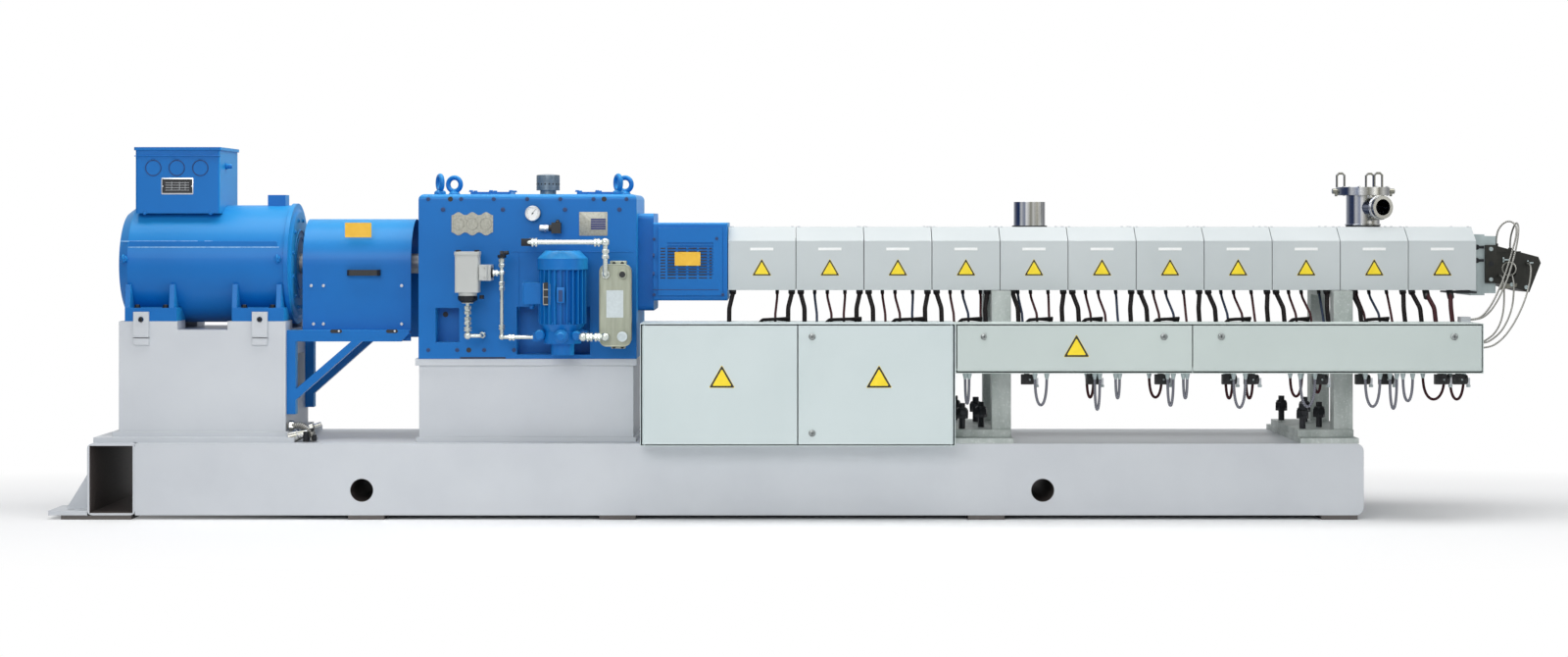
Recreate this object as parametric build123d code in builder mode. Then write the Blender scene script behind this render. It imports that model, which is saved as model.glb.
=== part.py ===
from build123d import *

import math
import os

os.makedirs("parts", exist_ok=True)

# Shared clearances and cuts
overrun = 20.0
door_gap = 5.0
lug_gap = 1.0
pin_gap = 0.3
sheet_gap = 4.0
stand_gap = 8.0
bend_share = 0.45
ease_share = 0.33

# Shaft line of motor, gearbox and screws
axis_height = 1105.0

# Soles and base beam
sole_height = 18.0
sole_width = 157.0
end_sole_width = 305.0
end_sole_out = 113.5
lifting_sole_shift = 19.0
stand_sole_shift = 75.0
last_sole_inset = 105.0
base_height = 312.0
base_depth = 820.0
base_wall = 15.0
base_corner = 34.0
base_overhang = 21.0
lifting_radius = 50.0
lifting_wall = 6.0
lifting_height = 109.0
lifting_left_gap = 236.0
lifting_right_gap = 170.0

# Open tube and anchor feet at the motor end
end_tube_length = 208.0
end_tube_wall = 10.0
end_tube_corner = 22.0
anchor_length = 169.0
anchor_depth = 230.0
anchor_thickness = 20.0
anchor_hole_radius = 16.0
gusset_height = 212.0
gusset_base = 118.0
gusset_thickness = 14.0

# Gearbox and what follows it towards the die
gearbox_left = -875.0
gearbox_length = 954.0
gearbox_depth = 660.0
gearbox_drop = 411.0
gearbox_height = 720.0
gearbox_edge = 24.0
pocket_depth = 90.0
left_pocket_start = 75.0
left_pocket_width = 103.0
left_pocket_low = 72.0
left_pocket_height = 150.0
right_pocket_start = 430.0
right_pocket_width = 320.0
right_pocket_low = 18.0
right_pocket_height = 209.0
flange_length = 69.0
flange_width = 430.0
flange_drop = 205.0
flange_height = 430.0
lantern_length = 327.0
lantern_width = 500.0
lantern_drop = 159.0
lantern_height = 343.0
lantern_panel = 8.0
lantern_panel_margin = 22.0
lantern_edge = 10.0
louvre_count = 11
louvre_pitch = 13.5
louvre_height = 7.0
louvre_length = 200.0
louvre_depth = 5.0
louvre_drop = 88.0

# Gearbox pedestal
gear_foot_overhang = 15.0
gear_foot_thickness = 30.0
gear_stand_depth = 620.0
gear_stand_flange = 20.0
gear_stand_flange_out = 12.0

# Barrel and covers
cover_gap = 3.0
cover_pitch = 300.0
cover_count = 11
cover_width = 480.0
cover_drop = 113.0
cover_side = 217.0
cover_rise = 61.0
cover_slope = 85.0
cover_wall = 3.0
barrel_flange_size = 230.0
barrel_flange_length = 30.0
barrel_size = 196.0
barrel_joint_gap = 2.0
barrel_joint_depth = 6.0
bracket_thickness = 24.0
bracket_width = 150.0
bracket_spacing = 196.0

# Vents: an open tube and a vacuum port with a clamped lid, and the barrels that carry them
tube_index = 4
tube_radius = 70.5
tube_bore = 64.0
tube_rise = 277.0
port_index = 9
port_radius = 74.0
port_bore = 60.0
port_rise = 325.0
port_lid_radius = 119.0
port_lid_thickness = 18.0
outlet_rise = 252.0
outlet_radius = 43.0
outlet_ring_radius = 51.0
outlet_ring_length = 20.0
outlet_bore = 36.0
outlet_reach = 165.0
outlet_angle = 20.0
clamp_circle = 100.0
clamp_count = 3
clamp_width = 34.0
clamp_height = 62.0
clamp_rod_radius = 5.0
clamp_bend = 9.0
rod_sides = 8

# Die and its adapter
adapter_length = 64.0
adapter_width = 250.0
adapter_drop = 139.0
adapter_height = 271.0
die_flange_length = 50.0
die_flange_drop = 130.0
die_flange_height = 254.0
die_width = 280.0
die_left_drop = 85.0
die_left_height = 166.0
die_top_length = 186.0
die_top_rise = 32.0
die_nose_length = 197.0
die_nose_rise = 5.0
die_heel_length = 146.0
die_heel_drop = 125.0
strand_count = 12
strand_radius = 4.0
strand_depth = 30.0
strand_pitch = 20.0
dimple_x = 58.0
dimple_drop = 33.0
dimple_radius = 30.0
dimple_depth = 14.0
lead_boss_radius = 9.0
lead_boss_root = 30.0

# Braided leads of the die
lead_radius = 4.0
lead_block_inset = 25.0
lead_block_length = 42.0
lead_block_front = 432.0
lead_block_depth = 60.0
lead_block_height = 24.0
end_gland_radius = 9.0
end_gland_length = 10.0

# Motor, its pedestal and pad
coupling_space = 585.0
motor_length = 751.0
motor_radius = 262.0
motor_chamfer = 34.0
motor_chamfer_length = 44.0
motor_flange_radius = 270.0
motor_flange_length = 20.0
shield_root_radius = 246.0
shield_nose_radius = 232.0
shield_length = 10.0
motor_foot_drop = 249.0
motor_foot_height = 59.0
motor_foot_depth = 554.0
motor_foot_left = 38.0
motor_foot_right = 15.0
motor_foot_length = 228.0
motor_rib_drop = 87.0
motor_rib_thickness = 22.0
motor_rib_inset = 12.0
motor_lug_radius = 15.0
motor_lug_out = 24.0
motor_lug_rise = 25.0
motor_lug_left = 31.0
motor_lug_right = 44.0
motor_seam_low = 77.0
motor_seam_high = 102.0
motor_seam_width = 252.0
motor_seam_inset = 50.0
sensor_box_inset = 129.0
sensor_box_length = 79.0
sensor_box_width = 90.0
sensor_box_rise = 308.0
pedestal_overhang = 12.0
pedestal_length = 733.0
pedestal_depth = 554.0
pedestal_notch_depth = 38.0
pedestal_notch_left = 257.0
pedestal_notch_length = 220.0
pedestal_flange = 20.0
pedestal_flange_out = 23.0
pedestal_channel = 240.0
window_width = 380.0
window_rise = 184.0
window_height = 164.0
window_depth = 180.0
window_corner = 16.0
pad_thickness = 22.0
pad_depth = 720.0
pad_left_out = 91.0
pad_right_out = 52.0
base_left_gap = 194.0
jack_length = 68.0
jack_height = 116.0
jack_thickness = 14.0
jack_drop = 74.0
jack_left = 66.0
jack_right = 587.0
jack_hole_radius = 12.0
jack_hole_drop = 34.0
box_left = 65.0
box_length = 373.0
box_width = 400.0
box_rise = 225.0
box_height = 293.0
box_lid = 14.0
box_lid_out = 6.0
box_corner = 12.0

# Coupling and guard
shaft_radius = 45.0
hub_radius = 98.0
hub_length = 150.0
disc_radius = 128.0
disc_length = 34.0
guard_left_gap = 54.0
guard_length = 480.0
guard_radius = 200.0
guard_drop = 339.0
guard_wall = 3.0
handle_start = 201.0
handle_length = 145.0
handle_drop = 50.0
handle_height = 26.0
handle_out = 36.0
handle_thickness = 11.0
arm_depth = 55.0
arm_height = 49.0
arm_cut = 35.0
leg_width = 39.0
leg_rise = 116.0
brace_top_start = 283.0
brace_width = 47.0
brace_low_rise = 62.0
brace_high_rise = 110.0

# Silvery hose between the motor pedestal and the base
water_radius = 16.0
water_height = 65.0
water_depth = 245.0
water_reach = 66.0
water_run = 121.0
water_shift = 50.0
water_drop = 25.0
water_bend = 30.0
water_nut_radius = 23.0
water_nut_length = 16.0

# Oil set on the front of the gearbox, with rises counted from the gearbox foot
oil_plane = 430.0
filter_x = 227.0
filter_width = 104.0
filter_depth = 88.0
filter_corner = 12.0
filter_bowl_radius = 40.0
filter_bowl_drop = 26.0
filter_rise = 293.0
filter_height = 163.0
filter_neck_radius = 24.0
filter_neck_rise = 246.0
filter_cap_out = 3.0
filter_cap_height = 14.0
filter_block_rise = 344.0
filter_block_height = 68.0
filter_block_length = 50.0
pipe_radius = 13.0
pipe_nut_radius = 19.0
pipe_nut_length = 14.0
nut_sides = 6
pipe_bend = 22.0
riser_x = 375.0
riser_top_rise = 467.0
suction_rise = 99.0
return_x = 283.0
return_rise = 105.0
supply_x = 495.0
supply_rise = 511.0
supply_front = 540.0
pump_x = 640.0
pump_depth = 445.0
pump_radius = 80.0
pump_rise = 73.0
pump_height = 55.0
pump_foot_radius = 50.0
pump_foot_rise = 23.0
pump_arm_width = 60.0
pump_arm_height = 40.0
pump_inlet_reach = 128.0
pump_inlet_depth = 50.0
pump_inlet_height = 36.0
pump_outlet_reach = 110.0
pump_outlet_front = 480.0
pump_outlet_depth = 60.0
pump_outlet_height = 44.0
pump_outlet_x = 95.0
pump_motor_radius = 84.0
pump_fin_radius = 105.0
pump_fin_count = 24
pump_fin_thickness = 5.0
pump_bell_height = 30.0
pump_bell_radius = 98.0
pump_fan_rise = 392.0
pump_fan_height = 82.0
pump_fan_radius = 109.0
pump_fan_dome = 34.0
pump_box_length = 62.0
pump_box_depth = 90.0
pump_box_rise = 244.0
pump_box_height = 92.0
exchanger_left = 805.0
exchanger_width = 133.0
exchanger_front = 500.0
exchanger_depth = 100.0
exchanger_rise = 64.0
exchanger_height = 350.0
exchanger_corner = 30.0
exchanger_rim = 6.0
exchanger_arm_width = 60.0
exchanger_arm_height = 70.0
exchanger_port_inset = 26.0
exchanger_port_rim = 42.0
exchanger_stub_inset = 35.0
exchanger_stub_radius = 17.0
exchanger_stub_length = 22.0

# Gauge and sensor on the front of the gearbox
gauge_x = 502.0
gauge_rise = 636.0
gauge_radius = 33.0
gauge_thickness = 28.0
sensor_x = 532.0
sensor_rise = 572.0
sensor_out = 30.0
sensor_radius = 14.0
sensor_length = 53.0
sensor_stem_radius = 10.0
sensor_stem_x = 18.0
sensor_plug_length = 41.0
sensor_plug_size = 48.0
sensor_plug_depth = 36.0

# Fittings on top of the gearbox
eye_inset = 85.0
eye_spacing = 510.0
eye_ring_radius = 31.0
eye_wire_radius = 10.0
eye_ring_sides = 16
eye_collar_radius = 26.0
eye_collar_height = 14.0
plate_length = 178.0
plate_width = 220.0
plate_thickness = 12.0
plate_left_start = 202.0
plate_right_start = 676.0
breather_start = 538.0
breather_radius = 52.0
breather_height = 66.0
breather_neck_radius = 36.0
breather_neck_height = 20.0

# Support stands, and the barrels that they stand under
stand_indexes = (4, 9)
stand_width = 84.0
column_depth = 80.0
column_inner = 215.0
saddle_thickness = 29.0
stand_pad_thickness = 23.0
stand_pad_left = 210.0
stand_pad_right = 44.0
stand_foot_thickness = 30.0
stand_foot_left = 205.0
stand_foot_right = 40.0
stand_foot_depth = 640.0
stud_radius = 14.0
stud_height = 112.0
stud_outer_x = 170.0
stud_outer_y = 250.0
stud_inner_x = 80.0
stud_inner_y = 165.0
nut_radius = 27.0
nut_height = 24.0
nut_rise = 44.0

# Cabinet and trough
cabinet_gap = 27.0
cabinet_height = 526.0
front_plane = 550.0
cabinet_back = 250.0
wall_sheet = 3.0
door_thickness = 20.0
door_split_share = 0.5
trough_height = 214.0
trough_end_gap = 51.0
trough_split_share = 0.449
hinge_radius = 4.0
hinge_reach = 34.0
lock_radius = 12.0
lock_height = 6.0
door_lock_inset = 60.0
flap_lock_inset = 120.0
lock_drop = 56.0

# Hoses between the barrel and the trough
zone_radius = 10.0
zone_sides = 6
zone_inset = 20.0
zone_end_inset = 62.0
zone_drop = 78.0
zone_out = 50.0
zone_landing = 330.0
zone_rise = 44.0
zone_bend = 25.0

# Cooling valves under the trough and their hose loops
valve_depth = 420.0
valve_length = 48.0
valve_width = 36.0
valve_height = 43.0
valve_neck_height = 11.0
valve_neck_size = 22.0
valve_head_radius = 18.0
valve_head_length = 14.0
valve_head_sides = 8
fitting_length = 12.0
fitting_height = 40.0
valve_shares = (0.140, 0.265, 0.396, 0.5245, 0.567, 0.699, 0.780, 0.825, 0.932, 0.9665)
loop_radius = 5.5
loop_sides = 6
loop_bend = 24.0
red_loop_shift = 42.0
grey_loop_shift = 45.0
red_loop_shares = (
    (0.257, 0.0132, 0.53),
    (0.377, 0.0243, 0.53),
    (0.524, 0.0132, 0.55),
    (0.563, 0.0132, 0.55),
    (0.648, 0.0225, 0.51),
    (0.694, 0.0132, 0.43),
    (0.903, 0.0415, 0.57),
    (0.955, 0.0265, 0.57),
)
grey_loop_shares = (
    (0.021, 0.0075, 0.63),
    (0.154, 0.0225, 0.66),
    (0.268, 0.0097, 0.75),
    (0.308, 0.0075, 0.52),
    (0.407, 0.0110, 0.67),
    (0.437, 0.0075, 0.52),
    (0.533, 0.0225, 0.71),
    (0.660, 0.0282, 0.69),
    (0.784, 0.0282, 0.69),
    (0.831, 0.0132, 0.73),
    (0.856, 0.0185, 0.575),
)

# Levels worked out from the values above
base_top = sole_height + base_height
gearbox_bottom = axis_height - gearbox_drop
gearbox_top = gearbox_bottom + gearbox_height
motor_foot_bottom = axis_height - motor_foot_drop
pedestal_top = motor_foot_bottom - pedestal_notch_depth
guard_bottom = axis_height - guard_drop
cover_bottom = axis_height - cover_drop
cover_shoulder = cover_bottom + cover_side
cover_top = cover_shoulder + cover_rise
barrel_top = axis_height + barrel_size / 2
saddle_top = axis_height - barrel_flange_size / 2
cabinet_top = base_top + cabinet_height
trough_bottom = cabinet_top - trough_height

# Stations and half widths worked out from the values above
half_base = base_depth / 2
half_gearbox = gearbox_depth / 2
gearbox_right = gearbox_left + gearbox_length
lantern_left = gearbox_right + flange_length
lantern_right = lantern_left + lantern_length
covers_start = lantern_right + cover_gap
covers_end = covers_start + cover_count * cover_pitch
motor_right = gearbox_left - coupling_space
motor_left = motor_right - motor_length
shield_right = motor_right + shield_length
pedestal_left = motor_left + pedestal_overhang
pedestal_right = pedestal_left + pedestal_length
pad_left = pedestal_left - pad_left_out
pad_right = pedestal_right + pad_right_out
base_left = pad_left + base_left_gap
end_tube_left = base_left - end_tube_length
stand_places = [covers_start + index * cover_pitch for index in stand_indexes]
base_right = stand_places[-1] + stand_pad_right + base_overhang
lifting_places = (gearbox_left - lifting_left_gap, stand_places[0] + lifting_right_gap)
cabinet_left = gearbox_right + cabinet_gap
cabinet_right = stand_places[0] - stand_pad_left - stand_gap
trough_right = covers_end - trough_end_gap
trough_length = trough_right - cabinet_right


def block(x_low, x_high, y_low, y_high, z_low, z_high, mode=Mode.ADD):
    """One box between two corners, added to the part that is being made."""
    centre = ((x_low + x_high) / 2, (y_low + y_high) / 2, (z_low + z_high) / 2)
    with Locations(centre):
        Box(x_high - x_low, y_high - y_low, z_high - z_low, mode=mode)


def bend_radii(points, widest):
    """Bend at each inner corner of a route: the widest asked for, or what the shorter run allows."""
    radii = []
    for before, corner, after in zip(points, points[1:], points[2:]):
        arriving = Vector(*corner) - Vector(*before)
        leaving = Vector(*after) - Vector(*corner)
        half_turn = math.radians(arriving.get_angle(leaving)) / 2
        room = bend_share * min(arriving.length, leaving.length)
        radii.append(min(widest, room / math.tan(half_turn)))
    return radii


def eased_route(points, widest):
    """The route with each inner corner cut off, by the length asked for or what its runs allow."""
    eased = [Vector(*points[0])]
    for before, corner, after in zip(points, points[1:], points[2:]):
        arriving = Vector(*corner) - Vector(*before)
        leaving = Vector(*after) - Vector(*corner)
        cut_length = min(widest, ease_share * min(arriving.length, leaving.length))
        eased.append(Vector(*corner) - arriving.normalized() * cut_length)
        eased.append(Vector(*corner) + leaving.normalized() * cut_length)
    eased.append(Vector(*points[-1]))
    return eased


# Sole strips under the base
sole_centres = (
    end_tube_left - end_sole_out + end_sole_width / 2,
    lifting_places[0] + lifting_sole_shift,
    0,
    stand_places[0] - stand_sole_shift,
    base_right - last_sole_inset,
)
with BuildPart() as sole_strips:
    for number, centre in enumerate(sole_centres):
        half = (end_sole_width if number == 0 else sole_width) / 2
        block(centre - half, centre + half, -half_base, half_base, 0, sole_height)
sole_strips.part.label = "sole_strips"
export_step(sole_strips.part, "parts/sole_strips.step")

# Base beam: closed box with two pipes through it for lifting bars
with BuildPart() as base_frame:
    with BuildSketch(Plane.XZ.offset(half_base)):
        with Locations(((base_left + base_right) / 2, (sole_height + base_top) / 2)):
            outline = Rectangle(base_right - base_left, base_height)
        fillet(outline.vertices().group_by(Axis.X)[-1], radius=base_corner)
    extrude(amount=-base_depth)
    block(
        base_left + base_wall,
        base_right - base_wall,
        -half_base + base_wall,
        half_base - base_wall,
        sole_height + base_wall,
        base_top - base_wall,
        mode=Mode.SUBTRACT,
    )
    with BuildSketch(Plane.XZ.offset(half_base)):
        with Locations([(x, sole_height + lifting_height) for x in lifting_places]):
            Circle(lifting_radius + lifting_wall)
    extrude(amount=-base_depth)
    with BuildSketch(Plane.XZ.offset(half_base)):
        with Locations([(x, sole_height + lifting_height) for x in lifting_places]):
            Circle(lifting_radius)
    extrude(amount=-base_depth, mode=Mode.SUBTRACT)
base_frame.part.label = "base_frame"
export_step(base_frame.part, "parts/base_frame.step")

# Open tube across the motor end of the base
with BuildPart() as base_end_tube:
    with BuildSketch(Plane.XZ.offset(half_base)):
        with Locations(((end_tube_left + base_left) / 2, (sole_height + base_top) / 2)):
            RectangleRounded(end_tube_length, base_height, end_tube_corner)
            Rectangle(
                end_tube_length - 2 * end_tube_wall,
                base_height - 2 * end_tube_wall,
                mode=Mode.SUBTRACT,
            )
    extrude(amount=-base_depth)
base_end_tube.part.label = "base_end_tube"
export_step(base_end_tube.part, "parts/base_end_tube.step")

# Anchor feet: a plate with a bolt hole and a gusset up the end tube
with BuildPart() as anchor_feet:
    for side in (-1, 1):
        outer = side * half_base
        inner = side * (half_base - anchor_depth)
        middle = (outer + inner) / 2
        block(
            end_tube_left - anchor_length,
            end_tube_left,
            min(outer, inner),
            max(outer, inner),
            sole_height,
            sole_height + anchor_thickness,
        )
        with BuildSketch(Plane.XZ.offset(-middle + gusset_thickness / 2)):
            with BuildLine():
                Polyline(
                    (end_tube_left, sole_height + anchor_thickness),
                    (end_tube_left - gusset_base, sole_height + anchor_thickness),
                    (end_tube_left, sole_height + gusset_height),
                    close=True,
                )
            make_face()
        extrude(amount=-gusset_thickness)
        hole_y = outer - side * anchor_depth / 4
        with Locations((end_tube_left - anchor_length / 2, hole_y, sole_height + anchor_thickness)):
            Hole(radius=anchor_hole_radius, depth=anchor_thickness)
anchor_feet.part.label = "anchor_feet"
export_step(anchor_feet.part, "parts/anchor_feet.step")

# Plate under the motor pedestal
with BuildPart() as motor_pad_plate:
    block(pad_left, pad_right, -pad_depth / 2, pad_depth / 2, base_top, base_top + pad_thickness)
motor_pad_plate.part.label = "motor_pad_plate"
export_step(motor_pad_plate.part, "parts/motor_pad_plate.step")

# Motor pedestal: flanged box with two raised pads, a notch between them and a window in its right side
pedestal_base = base_top + pad_thickness
with BuildPart() as motor_pedestal:
    with BuildSketch(Plane.XZ.offset(pedestal_depth / 2)):
        with BuildLine():
            Polyline(
                (pedestal_left, pedestal_base),
                (pedestal_right, pedestal_base),
                (pedestal_right, motor_foot_bottom),
                (pedestal_left + pedestal_notch_left + pedestal_notch_length, motor_foot_bottom),
                (pedestal_left + pedestal_notch_left + pedestal_notch_length, pedestal_top),
                (pedestal_left + pedestal_notch_left, pedestal_top),
                (pedestal_left + pedestal_notch_left, motor_foot_bottom),
                (pedestal_left, motor_foot_bottom),
                close=True,
            )
        make_face()
    extrude(amount=-pedestal_depth)
    block(
        pedestal_left - pedestal_flange_out,
        pedestal_right + pedestal_flange_out,
        -pedestal_depth / 2 - pedestal_flange_out,
        pedestal_depth / 2 + pedestal_flange_out,
        pedestal_base,
        pedestal_base + pedestal_flange,
    )
    block(
        pedestal_left - overrun,
        pedestal_right + overrun,
        -pedestal_channel / 2,
        pedestal_channel / 2,
        pedestal_top,
        motor_foot_bottom + overrun,
        mode=Mode.SUBTRACT,
    )
    with BuildSketch(Plane.YZ.offset(pedestal_right - window_depth)):
        with Locations((0, pedestal_base + window_rise + window_height / 2)):
            RectangleRounded(window_width, window_height, window_corner)
    extrude(amount=window_depth, mode=Mode.SUBTRACT)
motor_pedestal.part.label = "motor_pedestal"
export_step(motor_pedestal.part, "parts/motor_pedestal.step")

# Jack brackets: drilled plates bolted to the pedestal beside the motor feet
with BuildPart() as jack_brackets:
    for side in (-1, 1):
        near = side * pedestal_depth / 2
        far = side * (pedestal_depth / 2 + jack_thickness)
        for start in (jack_left, jack_right):
            left = pedestal_left + start
            block(
                left,
                left + jack_length,
                min(near, far),
                max(near, far),
                motor_foot_bottom - jack_drop,
                motor_foot_bottom - jack_drop + jack_height,
            )
            hole_height = motor_foot_bottom - jack_drop + jack_height - jack_hole_drop
            with Locations(Plane.XZ.offset(-near)):
                with Locations((left + jack_length / 2, hole_height)):
                    Cylinder(
                        jack_hole_radius,
                        2 * jack_thickness + overrun,
                        mode=Mode.SUBTRACT,
                    )
jack_brackets.part.label = "jack_brackets"
export_step(jack_brackets.part, "parts/jack_brackets.step")

# Drive motor: round housing, end flange and shield, feet with ribs, lugs, seams and a small box
with BuildPart() as motor_body:
    with BuildSketch(Plane.XZ):
        with BuildLine():
            Polyline(
                (motor_left, axis_height),
                (motor_left, axis_height + motor_radius - motor_chamfer),
                (motor_left + motor_chamfer_length, axis_height + motor_radius),
                (motor_right - motor_flange_length, axis_height + motor_radius),
                (motor_right - motor_flange_length, axis_height + motor_flange_radius),
                (motor_right, axis_height + motor_flange_radius),
                (motor_right, axis_height + shield_root_radius),
                (shield_right, axis_height + shield_nose_radius),
                (shield_right, axis_height),
                close=True,
            )
        make_face()
    revolve(axis=Axis((0, 0, axis_height), (1, 0, 0)))
    foot_top = motor_foot_bottom + motor_foot_height
    foot_places = (motor_left + motor_foot_left, motor_right - motor_foot_right - motor_foot_length)
    for left in foot_places:
        block(
            left,
            left + motor_foot_length,
            -motor_foot_depth / 2,
            motor_foot_depth / 2,
            motor_foot_bottom,
            foot_top,
        )
        last_rib = left + motor_foot_length - motor_rib_thickness - motor_rib_inset
        for rib in (left, last_rib):
            with BuildSketch(Plane.YZ.offset(rib)):
                with BuildLine():
                    Polyline(
                        (-motor_foot_depth / 2, motor_foot_bottom),
                        (motor_foot_depth / 2, motor_foot_bottom),
                        (motor_foot_depth / 2, foot_top),
                        (motor_radius, axis_height - motor_rib_drop),
                        (-motor_radius, axis_height - motor_rib_drop),
                        (-motor_foot_depth / 2, foot_top),
                        close=True,
                    )
                make_face()
            extrude(amount=motor_rib_thickness)
    lug_length = 2 * (motor_radius + motor_lug_out)
    with BuildSketch(Plane.XZ.offset(lug_length / 2)):
        with Locations(
            (motor_left + motor_lug_left, axis_height + motor_lug_rise),
            (motor_right - motor_lug_right, axis_height + motor_lug_rise),
        ):
            RegularPolygon(motor_lug_radius, rod_sides)
    extrude(amount=-lug_length)
    block(
        motor_left + motor_seam_inset,
        motor_right - motor_seam_inset,
        -motor_seam_width,
        motor_seam_width,
        axis_height + motor_seam_low,
        axis_height + motor_seam_high,
    )
    block(
        motor_right - sensor_box_inset,
        motor_right - sensor_box_inset + sensor_box_length,
        -sensor_box_width / 2,
        sensor_box_width / 2,
        axis_height + motor_seam_high,
        axis_height + sensor_box_rise,
    )
motor_body.part.label = "motor_body"
export_step(motor_body.part, "parts/motor_body.step")

# Terminal box on top of the motor, cut to sit on the round housing
with BuildPart() as motor_terminal_box:
    left = motor_left + box_left
    box_bottom = axis_height + box_rise
    with BuildSketch(Plane.XY.offset(box_bottom)):
        with Locations((left + box_length / 2, 0)):
            RectangleRounded(box_length, box_width, box_corner)
    extrude(amount=box_height - box_lid)
    with BuildSketch(Plane.XY.offset(box_bottom + box_height - box_lid)):
        with Locations((left + box_length / 2, 0)):
            RectangleRounded(box_length + 2 * box_lid_out, box_width + 2 * box_lid_out, box_corner)
    extrude(amount=box_lid)
    with Locations(Location((left, 0, axis_height), (0, 90, 0))):
        Cylinder(motor_radius, 3 * box_length, mode=Mode.SUBTRACT)
motor_terminal_box.part.label = "motor_terminal_box"
export_step(motor_terminal_box.part, "parts/motor_terminal_box.step")

# Coupling between the motor and the gearbox
coupling_middle = (motor_right + gearbox_left) / 2
with BuildPart() as coupling:
    with BuildSketch(Plane.XZ):
        with BuildLine():
            Polyline(
                (shield_right, axis_height),
                (shield_right, axis_height + shaft_radius),
                (coupling_middle - hub_length, axis_height + shaft_radius),
                (coupling_middle - hub_length, axis_height + hub_radius),
                (coupling_middle - disc_length, axis_height + hub_radius),
                (coupling_middle - disc_length, axis_height + disc_radius),
                (coupling_middle + disc_length, axis_height + disc_radius),
                (coupling_middle + disc_length, axis_height + hub_radius),
                (coupling_middle + hub_length, axis_height + hub_radius),
                (coupling_middle + hub_length, axis_height + shaft_radius),
                (gearbox_left, axis_height + shaft_radius),
                (gearbox_left, axis_height),
                close=True,
            )
        make_face()
    revolve(axis=Axis((0, 0, axis_height), (1, 0, 0)))
coupling.part.label = "coupling"
export_step(coupling.part, "parts/coupling.step")

# Coupling guard: arched sheet, open at both ends and below
guard_left = motor_right + guard_left_gap
guard_right = guard_left + guard_length
with BuildPart() as coupling_guard:
    with BuildSketch(Plane.YZ.offset(guard_left)):
        for radius, mode in ((guard_radius, Mode.ADD), (guard_radius - guard_wall, Mode.SUBTRACT)):
            low = guard_bottom if mode == Mode.ADD else guard_bottom - overrun
            with Locations((0, axis_height)):
                Circle(radius, mode=mode)
            with Locations((0, (low + axis_height) / 2)):
                Rectangle(2 * radius, axis_height - low, mode=mode)
    extrude(amount=guard_length)
coupling_guard.part.label = "coupling_guard"
export_step(coupling_guard.part, "parts/coupling_guard.step")

# Black bow handle on the front of the guard
with BuildPart() as guard_handle:
    handle_left = guard_left + handle_start
    handle_bottom = axis_height - handle_drop
    block(
        handle_left,
        handle_left + handle_length,
        -guard_radius - handle_out,
        -guard_radius,
        handle_bottom,
        handle_bottom + handle_height,
    )
    bow_edges = guard_handle.edges().filter_by(Axis.Z).group_by(Axis.Y)[0]
    chamfer(bow_edges, length=handle_thickness)
    block(
        handle_left + handle_thickness,
        handle_left + handle_length - handle_thickness,
        -guard_radius - handle_out + handle_thickness,
        -guard_radius + overrun,
        handle_bottom - overrun,
        handle_bottom + handle_height + overrun,
        mode=Mode.SUBTRACT,
    )
guard_handle.part.label = "guard_handle"
export_step(guard_handle.part, "parts/guard_handle.step")

# Guard brackets: leg on the pedestal, arm along the guard and a brace, front and back
leg_left = pedestal_right
leg_bottom = base_top + leg_rise
arm_top = guard_bottom + arm_height
with BuildPart() as guard_brackets:
    for side in (-1, 1):
        front = guard_radius + arm_depth if side < 0 else -guard_radius
        with BuildSketch(Plane.XZ.offset(front)):
            with BuildLine():
                Polyline(
                    (leg_left, leg_bottom),
                    (leg_left + leg_width, leg_bottom),
                    (leg_left + leg_width, guard_bottom),
                    (guard_right - arm_cut, guard_bottom),
                    (guard_right, guard_bottom + arm_cut),
                    (guard_right, arm_top),
                    (leg_left, arm_top),
                    close=True,
                )
            make_face()
            with BuildLine():
                brace_start = leg_left + brace_top_start
                Polyline(
                    (brace_start, guard_bottom),
                    (brace_start + brace_width, guard_bottom),
                    (leg_left + leg_width, leg_bottom + brace_low_rise),
                    (leg_left + leg_width, leg_bottom + brace_high_rise),
                    close=True,
                )
            make_face()
        extrude(amount=-arm_depth)
guard_brackets.part.label = "guard_brackets"
export_step(guard_brackets.part, "parts/guard_brackets.step")

# Silvery hose from the pedestal wall down to the base, with a nut at both ends
hose_wall = pedestal_right
hose_line = base_top + water_height
water_route = (
    (hose_wall, -water_depth, hose_line),
    (hose_wall + water_reach, -water_depth, hose_line),
    (hose_wall + water_run, -water_depth - water_shift, hose_line - water_drop),
    (hose_wall + water_run, -water_depth - water_shift, base_top),
)
with BuildPart() as water_hose:
    with BuildLine():
        Polyline(*eased_route(water_route, water_bend))
    with BuildSketch(Plane(origin=water_route[0], z_dir=(1, 0, 0))):
        RegularPolygon(water_radius, rod_sides)
    sweep(transition=Transition.RIGHT)
    for place, direction in ((water_route[0], (1, 0, 0)), (water_route[-1], (0, 0, 1))):
        with BuildSketch(Plane(origin=place, z_dir=direction)):
            RegularPolygon(water_nut_radius, nut_sides)
        extrude(amount=water_nut_length)
water_hose.part.label = "water_hose"
export_step(water_hose.part, "parts/water_hose.step")

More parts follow.
